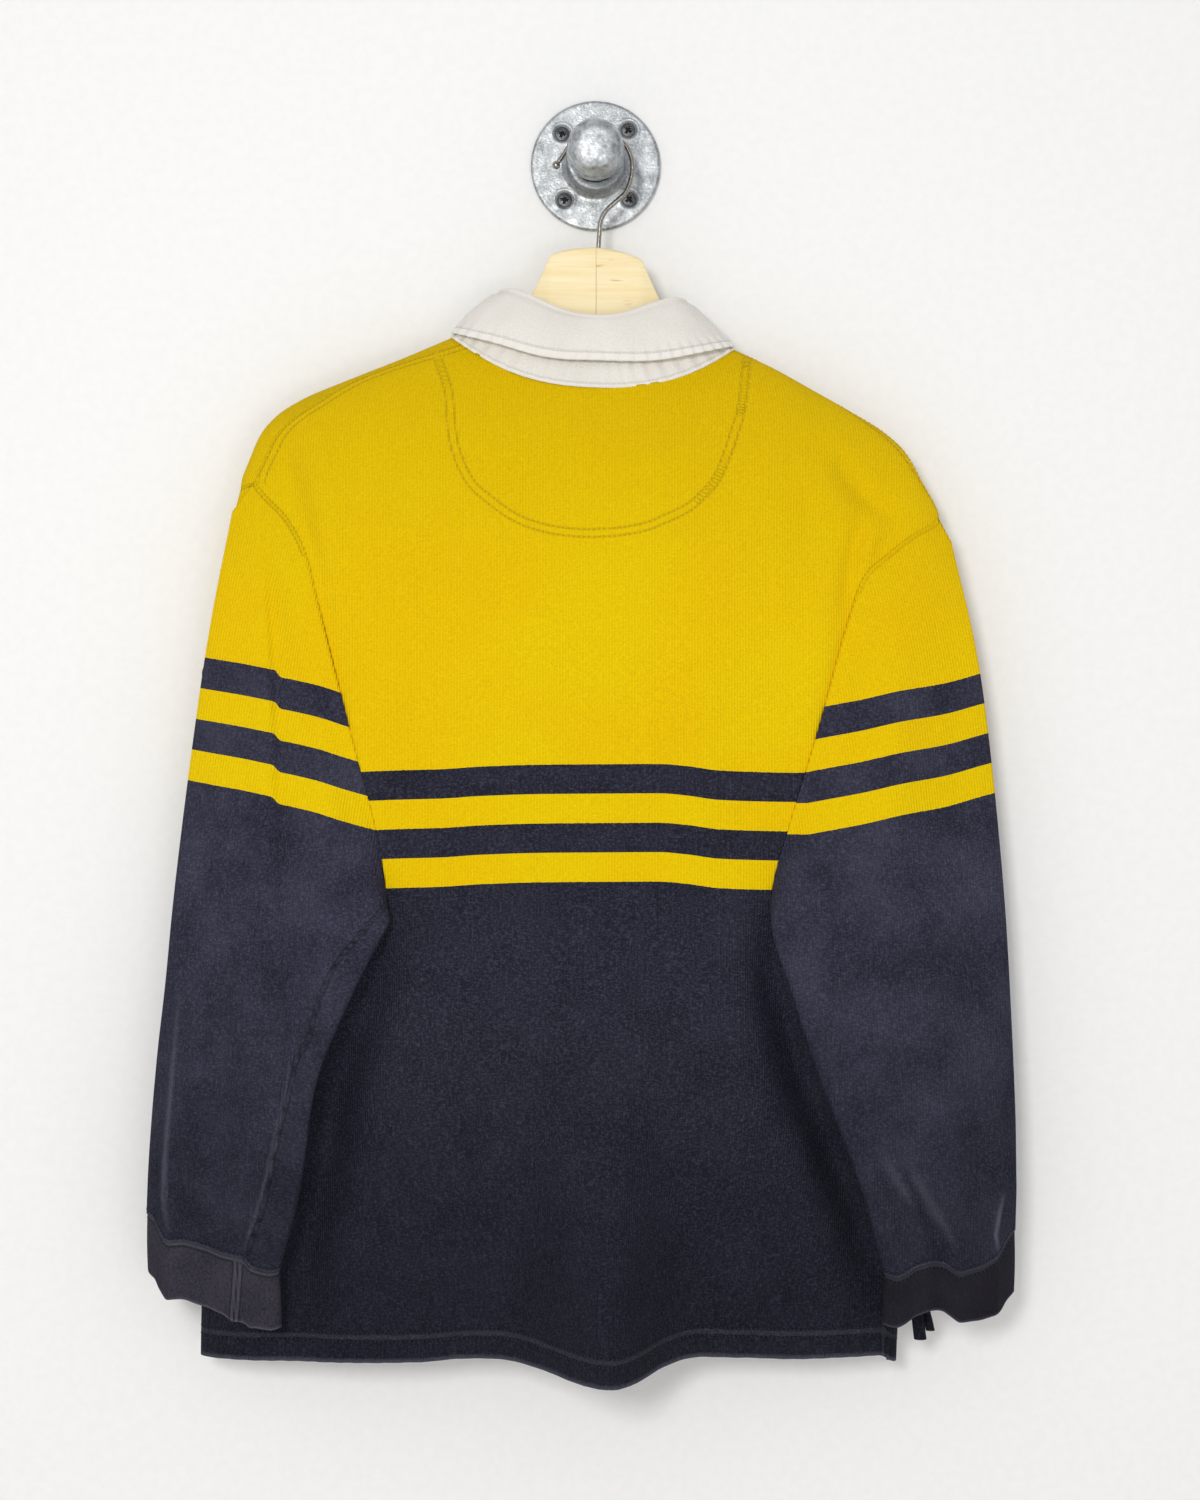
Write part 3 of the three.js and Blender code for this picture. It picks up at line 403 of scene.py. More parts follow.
# Spun polyester thread: twisted, with a mottle that stands for uneven light on each stitch as painted light;
# the yellow and navy threads are also painted darker than their cloth, as painted shade for stitches set into it
yellowThreadShaded = mottledMaterial("polyester thread, yellow", dict(dark="#b79200", pale="#d2ab04", size=0.7, roughness=0.7, height=0.08))
navyThreadShaded = mottledMaterial("polyester thread, navy", dict(dark="#08090e", pale="#14151c", size=0.7, roughness=0.7, height=0.08))
whiteThread = mottledMaterial("polyester thread, white", dict(dark="#d6d0cc", pale="#ece8e4", size=0.7, roughness=0.7, height=0.08))
print("cloth materials made")


# Body of the shirt: angle 0 is the left outline, a quarter turn the back, a half turn the right outline
body = curvesOf("row leftX leftZ rightX rightZ dip frontDip back front", [
    (0, -96, -123, 92.6, -131, 32, 78, -64, -14),
    (1, -129, -137, 118, -143, 27, 72, -65, -14),
    (2, -163.4, -150.6, 146, -158.5, 21.5, 66, -66, -14),
    (3, -197, -164.7, 175, -175, 16, 60, -67, -14),
    (4, -214, -175.5, 194, -187, 14, 58, -68, -14),
    (5, -225, -188, 208, -200, 11, 54, -69, -14),
    (6, -233, -206, 219, -219, 7, 50, -69, -14),
    (7, -238, -219.3, 231, -243.6, 4, 45, -70, -14),
    (8, -239, -227, 230, -256, 3, 42, -70, -14),
    (9, -240.5, -245, 228, -268, 2, 38, -70, -14),
    (11, -244.6, -301, 225, -310, 1, 20, -71, -13),
    (14, -251, -388, 221.7, -388, 0, 0, -72, -13),
    (19, -256.7, -499.5, 215, -499.5, 0, 0, -73, -12),
    (22, -261, -588, 210.5, -588, 0, 0, -73, -12),
    (26, -264, -722, 205.5, -722, 0, 0, -71, -12),
    (29, -265.4, -806, 202.1, -806, 0, 0, -70, -12),
])
lastRow, junctionRow, underarmRow = 29, 7, 19
edgeY = -38

# Large folds hang straight down: face (1 back, -1 front), x, fading in from top to full, widths, depth, end
bodyFolds = [
    (1, 8, -560, -800, 40, 31, 52, None),
    (1, -165, -215, -300, 14, 16, -5, -430),
    (1, 152, -215, -255, 22, 16, -7, -330),
    (1, -95, -600, -790, 30, 34, -6, None),
    (1, 112, -600, -790, 30, 34, -7, None),
    (-1, -120, -430, -780, 40, 40, -7, None),
    (-1, 85, -460, -780, 36, 36, -7, None),
]


def roundness(row):
    return mix(2.2, 2.6, ease((row - junctionRow) / 8))


def foldOffset(side, x, z):
    total = np.zeros(np.broadcast(x, z).shape)
    for face, middle, topZ, fullZ, widthLeft, widthRight, depth, endZ in bodyFolds:
        if face == side:
            width = np.where(x < middle, widthLeft, widthRight)
            grow = ease((topZ - z) / (topZ - fullZ))
            fade = 1 - ease((fullZ - z) / (fullZ - endZ)) if endZ else 1
            total = total + depth * grow * fade * np.exp(-((x - middle) / width) ** 2)
    return total


def bodyPoints(row, angle):
    row, angle = np.broadcast_arrays(np.asarray(row, float), np.asarray(angle, float))
    left, right = body["leftX"](row), body["rightX"](row)
    power = 2 / roundness(row)
    x = (left + right) / 2 - ((right - left) / 2) * signedPower(np.cos(angle), power)
    s = (x - left) / (right - left)
    onBack = np.sin(angle) >= 0
    dip = np.where(onBack, body["dip"](row), body["frontDip"](row)) * (1 - np.abs(2 * s - 1) ** 2.4)
    z = mix(body["leftZ"](row), body["rightZ"](row), s) - dip
    depth = np.where(onBack, body["back"](row), body["front"](row)) - edgeY
    bulge = np.abs(np.sin(angle)) ** power
    fold = np.where(onBack, foldOffset(1, x, z), -foldOffset(-1, x, z)) * bulge
    return np.stack([x, edgeY + depth * bulge - fold, z], axis=-1)


def angleAt(row, x):
    left, right = body["leftX"](row), body["rightX"](row)
    share = np.clip(((left + right) / 2 - x) / ((right - left) / 2), -1, 1)
    return np.arccos(signedPower(share, roundness(row) / 2))


def bodyOver(x, z, onBack=True):
    # the body's surface over points of the x-z plane
    x, z = np.broadcast_arrays(np.asarray(x, float), np.asarray(z, float))
    low, high = np.zeros(x.shape), np.full(x.shape, float(lastRow))

    def pointOn(row):
        angle = angleAt(row, x)
        return bodyPoints(row, angle if onBack else 2 * math.pi - angle)
    for n in range(22):
        middle = (low + high) / 2
        above = pointOn(middle)[..., 2] > z
        low, high = np.where(above, middle, low), np.where(above, high, middle)
    return pointOn((low + high) / 2)


backSeam = curvesOf("row left right", [
    (0, -90, 90), (3, -185, 172), (6, -222, 216), (7, -227, 229.4), (8, -221.5, 213.5), (9, -203.8, 198),
    (10, -191.2, 178), (11, -184.2, 169.7), (14, -162.5, 147.5), (17, -145, 127.5), (19, -138.3, 116.6),
    (20, -155, 130), (22, -190, 152), (25, -238, 188), (27, -254, 196), (29, -260, 197),
])
frontArmhole = curvesOf("row left right", [
    (8, -1, -1), (9, -2.5, -2.5), (10, -3, -3), (11, -1.5, -1.5), (12, 2, 2), (13, 6, 6), (14, 11, 11),
    (15, 20, 18), (16, 36, 32), (17, 62, 54), (18, 90, 76), (19, 118.4, 98.4),
])
seamGap, armholeGap, restGap = 0.1, 0.2, 4


def backEdge(side, row):
    return angleAt(row, backSeam[side](row))


def frontEdge(side, row):
    row = np.asarray(row, float)
    outline = body["leftX"](row) if side == "left" else body["rightX"](row)
    step = 1 if side == "left" else -1
    plain = angleAt(row, backSeam[side](row) - step * seamGap)
    inset = frontArmhole[side](row)
    angle = angleAt(row, outline + step * np.abs(inset))
    cut = np.where(inset >= 0, angle, 2 * math.pi - angle)
    # between the shoulder seam's end and the armhole's first row the edge turns over the outline
    turnShare = ease((row - junctionRow) / 1.0)
    over = np.where(cut > math.pi, cut - 2 * math.pi, cut) if side == "left" else cut
    blended = mix(plain, over, turnShare)
    below = row >= underarmRow
    angle = np.where(row <= junctionRow, plain, np.where(below, plain, blended))
    return angle


def smallDrape(x, z, seed=0.0):
    # the slight unevenness of hung jersey: long soft waves in several directions
    return (1.3 * np.sin(x / 37 + 0.9 * np.sin(z / 71 + seed) + seed)
            + 0.8 * np.sin(x / 17 + z / 120 + 2.1 * seed + 1.3)
            + 0.8 * np.sin(z / 47 + 0.8 * np.sin(x / 43) + 0.5 * seed)
            + 0.35 * np.sin(x / 9 - z / 31 + 1.7 * np.sin(z / 60) + seed))


# Finer creases on the back: a line in the photo, its width, how far it sinks (or stands, if negative)
backCreases = [
    ([(281, 444), (289, 478), (303, 525), (312, 560), (322, 600), (334, 650)], 8, 4.4),
    ([(304, 440), (322, 500), (342, 570), (356, 640)], 11, -2.4),
    ([(836, 452), (850, 474), (864, 492), (880, 505), (895, 513)], 8, 5.0),
    ([(884, 520), (873, 540), (866, 560), (860, 580)], 5, -2.6),
    ([(862, 516), (855, 545), (852, 575), (845, 612)], 6, 3.6),
    ([(828, 520), (830, 580), (822, 660), (802, 740)], 12, -2.6),
    ([(812, 470), (834, 500), (846, 524)], 9, -2.4),
    ([(386, 934), (366, 985), (342, 1050), (326, 1110), (314, 1180), (300, 1250), (290, 1345)], 20, 25.0),
    ([(771, 934), (780, 1000), (804, 1076), (836, 1158), (864, 1230), (878, 1290)], 15, 23.0),
    ([(858, 596), (846, 640), (834, 690), (822, 740), (810, 790), (797, 840), (784, 876)], 4, 2.6),
    ([(318, 600), (330, 650), (342, 710), (354, 770), (366, 830)], 4, 2.4),
    ([(448, 960), (430, 1090), (412, 1220), (406, 1340)], 22, -3.2),
    ([(716, 990), (738, 1120), (760, 1240), (772, 1340)], 22, -3.2),
    ([(520, 1040), (514, 1160), (506, 1300), (503, 1350)], 16, 2.4),
    ([(690, 1080), (694, 1200), (690, 1300), (688, 1350)], 13, 3.0),
    ([(560, 1000), (570, 1150), (578, 1300)], 18, -1.6),
    ([(455, 350), (500, 420), (560, 470), (620, 490)], 26, 0.8),
]
backLines = [(np.array(photoLine(points, -70)), width, depth) for points, width, depth in backCreases]


def creaseOffset(x, z, lines):
    total = np.zeros(np.shape(x))
    for line, width, depth in lines:
        away, along, side = distanceTo(x, z, line)
        taper = np.sin(math.pi * np.clip(0.04 + 0.92 * along, 0, 1)) ** 0.6
        total = total + depth * taper * np.exp(-(away / width) ** 2)
    return total


def stepOffset(x, z, lines):
    # where one fold lies over the next: the cloth drops at the line and comes back up to its right
    total = np.zeros(np.shape(x))
    for line, reach, depth in lines:
        away, along, side = distanceTo(x, z, line)
        past = away * side
        taper = ease(along / 0.12) * ease((1 - along) / 0.1)
        total = total + depth * taper * ease((past + 0.8) / 2.4) * np.exp(-np.maximum(past, 0) / reach)
    return total


hem = dict(depth=20.0, lift=0.7, stitchLow=14.4, pucker=0.45, puckerPitch=13.0)
hemWave = curve([-256, -116, -90, -63, -37, -12, 15, 29, 42, 68, 95, 130, 170, 188, 200],
                [0, 0, 2, 2.6, 0, -3.4, -4.8, -3.6, 0, 4.2, 2.4, 1, 1.5, 1.8, -4])


def finishBody(points, row, onBackSide):
    # adds the fine creases and the doubled hem to a panel's points
    x, z = points[..., 0], points[..., 2]
    away = np.where(np.sin(onBackSide) >= 0, -1.0, 1.0)
    soft = np.clip((points[..., 1] - edgeY) / 22 * away, 0, 1)
    offset = np.where(away < 0, -creaseOffset(x, z, backLines) + smallDrape(x, z), 0.8 * smallDrape(x, z, 2.0))
    fromHem = z + 806
    hemLift = hem["lift"] * (1 - ease((fromHem - hem["depth"]) / 3))
    pucker = hem["pucker"] * np.sin(2 * math.pi * (x / hem["puckerPitch"] + 0.4 * np.sin(x / 31)))
    hemLift = hemLift + pucker * (1 - ease((fromHem - hem["depth"]) / 12))
    points[..., 1] += away * (offset * ease(soft) + hemLift * ease(soft))
    points[..., 2] += np.where(away < 0, hemWave(x), 0) * ease((-z - 690) / 116)
    return points


panels = dict(rows=236, backColumns=190, frontColumns=184, wall=1.5, slitHalf=12.0)


def acrossFrom(points, startAt=None):
    # distance across each row, from x = 0 or from one column
    run = runAlong(points, 1)
    if startAt is None:
        return run - np.array([np.interp(0, line[:, 0], far) for line, far in zip(points, run)])[:, None]
    return run - run[:, startAt:startAt + 1]


# how far the stripes hang below their middle height across the body
stripeDrop = curve([-170, -150, -128.7, -102, -76, -36.5, 3, 42, 60, 81.5, 108, 130, 150],
                   [3.0, 2.2, 1.4, 0.7, -1.0, -2.3, -2.6, -2.8, -1.4, 1.5, 2.6, 3.0, 3.0])


def bodyNormals(row, angle):
    step = 0.02
    row, angle = np.broadcast_arrays(np.asarray(row, float), np.asarray(angle, float))
    around = bodyPoints(row, angle + step) - bodyPoints(row, angle - step)
    down = bodyPoints(np.minimum(row + step, lastRow), angle) - bodyPoints(np.maximum(row - step, 0), angle)
    out = np.cross(down, around)
    return out / np.linalg.norm(out, axis=-1, keepdims=True)


def runAlong(points, axis):
    # distance along a grid's rows or columns, from its first to each point
    step = np.linalg.norm(np.diff(points, axis=axis), axis=2)
    return np.concatenate([np.zeros_like(np.take(step, [0], axis=axis)), np.cumsum(step, axis=axis)], axis=axis)


gauge = 5.3  # distance between the needles of the twin stitching
moonInner = [(437, 345), (452, 391), (456, 432), (462, 456), (475, 481), (493, 497), (511, 510), (532, 520), (562, 527),
             (587, 529), (613, 528), (644, 523), (664, 515), (685, 505), (699, 493), (713, 477), (724, 452), (732, 428),
             (738, 408), (745, 352)]


def offsetLine(points, distance):
    # the same line, further out to its right-hand side as it runs
    line = pathThrough(points, 4)
    along = np.gradient(line, axis=0)
    along /= np.linalg.norm(along, axis=1, keepdims=True)
    return line + np.stack([-along[:, 1], along[:, 0]], axis=1) * distance


moonCentre = np.array(photoLine(offsetLine(moonInner, 4), -71))


def twinSeams(points, row, shoulders, moon):
    # distance in mm from the middle of the nearest pair of stitch rows
    down, across = runAlong(points, 0), runAlong(points, 1)
    hemLine = np.abs(down[-1:] - down - hem["stitchLow"] - gauge / 2)
    nearest = np.minimum(hemLine, 40)
    if shoulders:
        nearest = np.where(row < 7.3, np.minimum(nearest, np.abs(across - 1.5 - gauge / 2)), nearest)
    if moon:
        away = distanceTo(points[..., 0], points[..., 2], moonCentre)[0]
        nearest = np.minimum(nearest, away)
        # the side vent's own seam, up from the hem's right corner
        vent = np.abs(points[..., 0] - 192) + 1.0
        nearest = np.where(points[..., 2] < -778, np.minimum(nearest, vent), nearest)
    return nearest


def hemWear(points):
    # the folded hem's edge is rubbed pale
    down = runAlong(points, 0)
    return 0.55 * (1 - ease((down[-1:] - down - 0.2) / 1.6))


def turnEdges(points, row, angle, *fields):
    # adds a column at each side that turns the cloth's edge inwards, so that seams close
    normal = bodyNormals(row, angle)
    wide = np.concatenate([points[:, :1] - normal[:, :1] * 2.2, points, points[:, -1:] - normal[:, -1:] * 2.2], axis=1)
    return [wide] + [np.concatenate([f[:, :1], f, f[:, -1:]], axis=1) for f in fields]


def makeBack():
    row = np.linspace(0, lastRow, panels["rows"])[:, None]
    t = np.linspace(0, 1, panels["backColumns"])[None, :]
    angle = mix(backEdge("left", row), backEdge("right", row), t)
    points = bodyPoints(row, angle)
    points = finishBody(points, row, angle)
    stripes = points[..., 2] + stripeDrop(points[..., 0])
    # painted shade: a darker yellow towards the shoulders, passed on as the tone attribute
    shoulder = ease((points[..., 2] + 330) / 210)
    coords = np.stack([acrossFrom(points), stripes], axis=-1)
    seam = twinSeams(points, row, True, True)
    wide, coords, tone, seam, worn = turnEdges(points, row, angle, coords, 0.9 * shoulder, seam, hemWear(points))
    piece = gridMesh("back_panel_cloth", wide, coords, tone=tone, seam=seam, worn=worn)
    return dress(thicken(piece, panels["wall"]), bodyJersey, "jersey_body", "back_panel"), points


def makeFront():
    row = np.linspace(0, lastRow, panels["rows"])[:, None]
    fromAngle = frontEdge("right", row)
    toAngle = frontEdge("left", row) + 2 * math.pi
    centre = -1.7 - 4 * row / lastRow
    slitRight = 2 * math.pi - angleAt(row, centre + panels["slitHalf"])
    slitLeft = 2 * math.pi - angleAt(row, centre - panels["slitHalf"])
    half = panels["frontColumns"] // 2
    t = np.linspace(0, 1, half)[None, :]
    middle = np.linspace(0, 1, 8)[None, 1:-1]
    angle = np.concatenate([mix(fromAngle, slitRight, t), mix(slitRight, slitLeft, middle),
                            mix(slitLeft, toAngle, t)], axis=1)
    points = bodyPoints(row, angle)
    points = finishBody(points, row, angle)
    stripes = points[..., 2] + stripeDrop(points[..., 0])
    coords = np.stack([acrossFrom(points, half + 3), stripes], axis=-1)
    # painted shade: a darker yellow towards the shoulders, passed on as the tone attribute
    shoulder = ease((points[..., 2] + 330) / 210)
    slitRows = int(panels["rows"] * 13 / lastRow)

    def keep(j, i):
        return ~((i >= half) & (i < half + 7) & (j < slitRows))
    seam = twinSeams(points, row, True, False)
    wide, coords, tone, seam, worn = turnEdges(points, row, angle, coords, 0.9 * shoulder, seam, hemWear(points))
    piece = gridMesh("front_panel_cloth", wide, coords, keep=keep, tone=tone, seam=seam, worn=worn)
    return dress(thicken(piece, panels["wall"]), bodyJersey, "jersey_body", "front_panel"), points


backPiece, backGrid = makeBack()
frontPiece, frontGrid = makeFront()
print("body panels made")


# Sleeves, laid over the body's edges: outer and inner edge of each ring from the armhole to the cuff seam
sleeveNames = "ring outerX outerZ innerX innerZ outerY innerY half"
sleeveSections = dict(
    left=curvesOf(sleeveNames, [
        (1, -243, -241, -138, -501, -40, -73, 9),
        (5, -260.6, -330, -136.4, -505, -43, -77, 14),
        (9, -283, -503, -135, -513, -46, -84, 16),
        (11, -287.6, -556, -146.8, -536, -49, -85, 16),
        (13, -292.5, -604, -165.2, -574, -52, -85, 16),
        (15, -295.8, -646, -183.6, -622, -54, -84, 15),
        (17, -297.8, -684, -193.4, -684, -56, -82, 15),
        (19, -298.5, -713.4, -206.9, -735, -58, -80, 14),
    ]),
    right=curvesOf(sleeveNames, [
        (1, 238.9, -261, 116.3, -501, -40, -73, 9),
        (5, 258.3, -350, 115, -506, -43, -77, 14),
        (9, 275, -515, 116, -521, -46, -84, 16),
        (11, 277.7, -571, 127.2, -555.6, -49, -85, 16),
        (13, 279.4, -618, 142, -602, -52, -85, 16),
        (15, 280.3, -656, 160, -650, -54, -84, 15),
        (17, 280.4, -694, 176, -692, -56, -82, 15),
        (19, 279.4, -728, 189.6, -740, -58, -80, 14),
    ]),
)
fanRings, sleeveRings = 9, 19
sleeves = dict(rows=190, half=84, wall=1.4, waveFrom=14)
# how far each cuff seam lies above (or below) the straight line between its two ends
cuffWave = dict(
    left=curve([-298.5, -293, -289, -283.4, -269, -257.7, -244.5, -232, -224.7, -214.8, -206],
               [5.5, 4.5, -2, -8.0, -4.3, -4.2, -5.6, -4.6, -9.5, -9.9, -7]),
    right=curve([189, 198.4, 204.3, 211.6, 219.5, 228, 234.7, 240, 251.2, 261, 267.7, 273.6, 279.5],
                [-4.6, -7.7, -6.2, -2.8, -1.6, -3.6, -8.2, -11.2, -10.9, -8.4, -3.8, 4.6, 9.0]),
)
cuffDepth = dict(
    left=curve([-298.5, -297, -291.6, -284, -279.4, -262, -246, -238, -229, -223, -206],
               [37, 38.6, 39.5, 38.2, 37.4, 38.6, 39, 42, 41, 38, 37]),
    right=curve([185, 212, 228, 245, 262, 272, 282], [33, 31.5, 30.5, 32.5, 36, 40, 41]),
)
# height of the first stripe's top edge across each sleeve; the left one steps down at a fold
firstStripe = dict(
    left=curve([-300, -255.3, -235.5, -218.9, -213.5, -209.5, -202.3, -182.5, -166, -140],
               [-332, -339.6, -342.9, -346.2, -347.4, -352.0, -353.5, -358.1, -363.5, -371]),
    right=curve([140, 153, 176, 201, 233, 262, 285], [-374, -371.5, -367.2, -361.5, -356.0, -348.3, -343.5]),
)
sleevePitch = dict(left=21.0, right=20.55)


def rowOfArmhole(side, z):
    low = np.full(np.shape(z), junctionRow + 1.0)
    high = np.full(np.shape(z), float(underarmRow))
    for n in range(18):
        middle = (low + high) / 2
        above = bodyPoints(middle, frontEdge(side, middle))[..., 2] > z
        low, high = np.where(above, middle, low), np.where(above, high, middle)
    return high


def sleeveRing(side, ring, q, onCamera):
    # ring and q are arrays of the same shape; q runs 0 to 1 from the outer to the inner edge
    out = -1 if side == "left" else 1
    edges = sleeveSections[side]
    at = np.maximum(ring, 1)
    share = (1 - np.cos(math.pi * q)) / 2
    row = mix(junctionRow, underarmRow, q)
    seamAngle = backEdge(side, row) if onCamera else np.where(row <= junctionRow, backEdge(side, row), frontEdge(side, row))
    start = bodyPoints(row, seamAngle)
    lift = np.where(start[..., 1] < edgeY, armholeGap * (q ** 6 if onCamera else 1), 0)
    start[..., 1] -= lift
    if onCamera:
        start[..., 0] += out * armholeGap * q
    fan = np.minimum(at / fanRings, 1)
    outerX, outerZ, innerX, innerZ = (edges[name](at) for name in ("outerX", "outerZ", "innerX", "innerZ"))
    lastX, lastZ, endX, endZ = (edges[name](fanRings) for name in ("outerX", "outerZ", "innerX", "innerZ"))
    junction = bodyPoints(junctionRow, backEdge(side, junctionRow))
    underarm = bodyPoints(underarmRow, backEdge(side, underarmRow))
    plainX, plainZ = mix(outerX, innerX, share), mix(outerZ, innerZ, share)
    fanX = mix(start[..., 0], mix(lastX, endX, share), fan)
    fanZ = mix(start[..., 2], mix(lastZ, endZ, share), fan)
    fanX = fanX + (outerX - mix(junction[0], lastX, fan)) * (1 - share)
    fanZ = fanZ + (outerZ - mix(junction[2], lastZ, fan)) * (1 - share)
    fanX = fanX + (innerX - mix(underarm[0], endX, fan)) * share
    fanZ = fanZ + (innerZ - mix(underarm[2], endZ, fan)) * share
    x = np.where(at < fanRings, fanX, plainX)
    z = np.where(at < fanRings, fanZ, plainZ)
    middle = mix(edges["outerY"](at), edges["innerY"](at), share)
    half = edges["half"](at) * np.sin(math.pi * q) ** 0.8
    if onCamera:
        y = mix(start[..., 1], middle - half, ease(np.minimum(at / (fanRings * 0.8), 1)))
    else:
        y = middle + half
        edgeRow = rowOfArmhole(side, z)
        edge = bodyPoints(edgeRow, frontEdge(side, edgeRow))
        strip = 1 - ease((edgeRow - 13) / 3)
        limit = mix(edge[..., 0], outerX, (0.7 * fan + 0.2) * strip + 0.02)
        inFan = (at < fanRings) & (edgeRow < underarmRow - 0.001)
        x = np.where(inFan & (out * x < out * limit), limit, x)
        stripShare = np.clip((x - edge[..., 0]) / (outerX - edge[..., 0]), 0, 1)
        y = np.where(inFan, mix(edge[..., 1], y, np.maximum(stripShare, ease(fan * 1.4))), y)
        y = np.where(edgeRow >= 12.5, np.minimum(y, bodyOver(x, z)[..., 1] - restGap), y)
        rings = np.linspace(1, sleeveRings, 60)
        outline = np.interp(-z, -edges["outerZ"](rings), edges["outerX"](rings))
        x = np.where(out * x > out * outline, outline, x)
    points = np.stack([x, y, z], axis=-1)
    grow = np.clip(ring, 0, 1)[..., None]
    return mix(start, points, grow), bodyNormals(row, seamAngle)


# Folds on the sleeves' camera side: a line in the photo, width in mm, depth (negative stands proud)
sleeveCreases = dict(
    left=[
        ([(250, 520), (252, 640), (257, 760), (262, 860), (268, 940)], 8, -2.6),
        ([(275, 503), (278, 530), (281, 556)], 2.4, 1.8),
        ([(302, 560), (310, 640), (322, 740), (330, 840), (330, 930)], 13, -3.0),
        ([(345, 800), (352, 870), (346, 950), (328, 1010)], 9, 2.4),
        ([(190, 700), (186, 800), (184, 900), (188, 1000)], 12, 2.4),
        ([(216, 900), (214, 1000), (218, 1100), (222, 1240)], 13, 2.6),
        ([(240, 1010), (246, 1100), (244, 1170), (238, 1290)], 10, -2.6),
        ([(174, 1000), (170, 1054), (165, 1120), (161, 1170), (160, 1204), (166, 1236)], 2.8, -2.2),
        ([(163, 1010), (159, 1080), (154, 1150), (152, 1200), (156, 1232)], 2.6, 2.0),
        ([(183, 1010), (181, 1080), (175, 1150), (173, 1200), (178, 1240)], 5, 2.2),
        ([(296, 1064), (289, 1120), (277, 1184), (258, 1262)], 4, -1.6),
    ],
    right=[
        ([(868, 1140), (884, 1172), (900, 1204), (912, 1244), (916, 1300)], 6, 4.2),
        ([(878, 1128), (896, 1168), (912, 1204), (926, 1240)], 5, -3.6),
        ([(915, 1175), (926, 1206), (940, 1240), (944, 1300)], 7, 4.4),
        ([(905, 1140), (922, 1180), (944, 1216), (962, 1256), (968, 1310)], 6, -3.4),
        ([(953, 1100), (958, 1170), (960, 1229)], 8, -2.2),
        ([(1009, 1196), (1002, 1218), (998, 1240), (1002, 1262)], 3.0, -4.0),
        ([(1012, 1190), (1008, 1215), (1006, 1238)], 2.6, 3.0),
        ([(962, 560), (968, 700), (976, 850), (980, 1000), (976, 1110)], 15, 3.0),
        ([(905, 620), (900, 740), (894, 860), (892, 980)], 15, -3.0),
        ([(860, 640), (862, 720), (858, 800)], 9, 2.0),
        ([(850, 1010), (872, 1060), (902, 1110)], 11, -2.4),
        ([(828, 1000), (850, 1070), (872, 1130)], 6, 2.4),
    ],
)
# Where one fold of the left sleeve lies over the next
sleeveSteps = dict(left=[([(252, 470), (257, 499), (261, 572), (265, 645), (269, 704), (273, 792), (277, 900), (283, 960),
                           (286, 1010), (284, 1065), (282, 1124), (276, 1160)], 12, 4.6)], right=[])
# The left sleeve's underarm seam, beyond which the knit's ribs run aslant, and ridges painted pale: painted highlights
# on the fold ridges, and rubbing
underSeam = dict(left=[(392, 900), (378, 914), (358, 937), (340, 958), (329, 977), (319, 1000), (310, 1037), (297, 1059), (291, 1087), (282, 1122), (276, 1150),
                       (269, 1184), (262, 1215), (247, 1254)], right=[])
ridgeHighlightsAndRubbing = dict(
    left=[([(174, 1000), (170, 1054), (165, 1120), (161, 1170), (160, 1200), (166, 1232)], 1.6, 0.36),
          ([(168, 1070), (164, 1130), (163, 1180), (164, 1216)], 1.2, 0.28),
          ([(290, 1060), (285, 1100), (274, 1150), (264, 1190), (244, 1250)], 1.2, 0.34)],
    right=[([(1008, 1198), (1002, 1219), (998, 1238), (1001, 1254)], 1.3, 0.6),
           ([(880, 1150), (896, 1180), (909, 1200)], 3.0, 0.22),
           ([(906, 1160), (930, 1204), (956, 1246)], 3.0, 0.22)],
)


def onSleeve(rows):
    return [(np.array(photoLine(points, -84)), width, amount) for points, width, amount in rows]


def sleevePoints(side):
    ring = np.concatenate([np.linspace(0, 1, 6)[:-1], np.linspace(1, sleeveRings, sleeves["rows"] - 5)])
    half = sleeves["half"]
    near = np.broadcast_arrays(ring[:, None], (np.arange(half + 1) / half)[None, :])
    far = np.broadcast_arrays(ring[:, None], (np.arange(half - 1, 0, -1) / half)[None, :])
    front, frontNormal = sleeveRing(side, near[0], near[1], True)
    back, backNormal = sleeveRing(side, far[0], far[1], False)
    fade = np.sin(math.pi * near[1]) ** 0.5 * ease(near[0] / 2.5)
    x, z = front[..., 0], front[..., 2]
    folds = creaseOffset(x, z, onSleeve(sleeveCreases[side])) + stepOffset(x, z, onSleeve(sleeveSteps[side]))
    front[..., 1] += (folds + smallDrape(x, z, 1.0)) * fade
    # the sleeve's head is turned in under the armhole's edge
    points = np.concatenate([front, back], axis=1)
    points[..., 2] += cuffWave[side](points[..., 0]) * ease((ring[:, None] - sleeves["waveFrom"]) / 5) ** 1.5
    normal = np.concatenate([frontNormal[0], backNormal[0]], axis=0)
    return np.concatenate([(points[0] - normal * 5.0)[None], points])


def ringCoords(points, side):
    # a closed sleeve's cloth coordinates: across it from its outer edge, and along it for the stripes
    closed = np.concatenate([points, points[:, :1]], axis=1)
    x, z = closed[..., 0], closed[..., 2]
    edges, rings = sleeveSections[side], np.linspace(1, sleeveRings, 60)
    across = x - np.interp(-z, -edges["outerZ"](rings), edges["outerX"](rings))
    if underSeam[side]:
        away, along, where = distanceTo(x, z, np.array(photoLine(underSeam[side], -84)))
        across = across + np.where(where > 0, z * 0.9, 0)
    stripes = jersey["stripeTop"] + (z - firstStripe[side](x)) * jersey["stripePitch"] / sleevePitch[side]
    return np.stack([across, stripes], axis=-1)


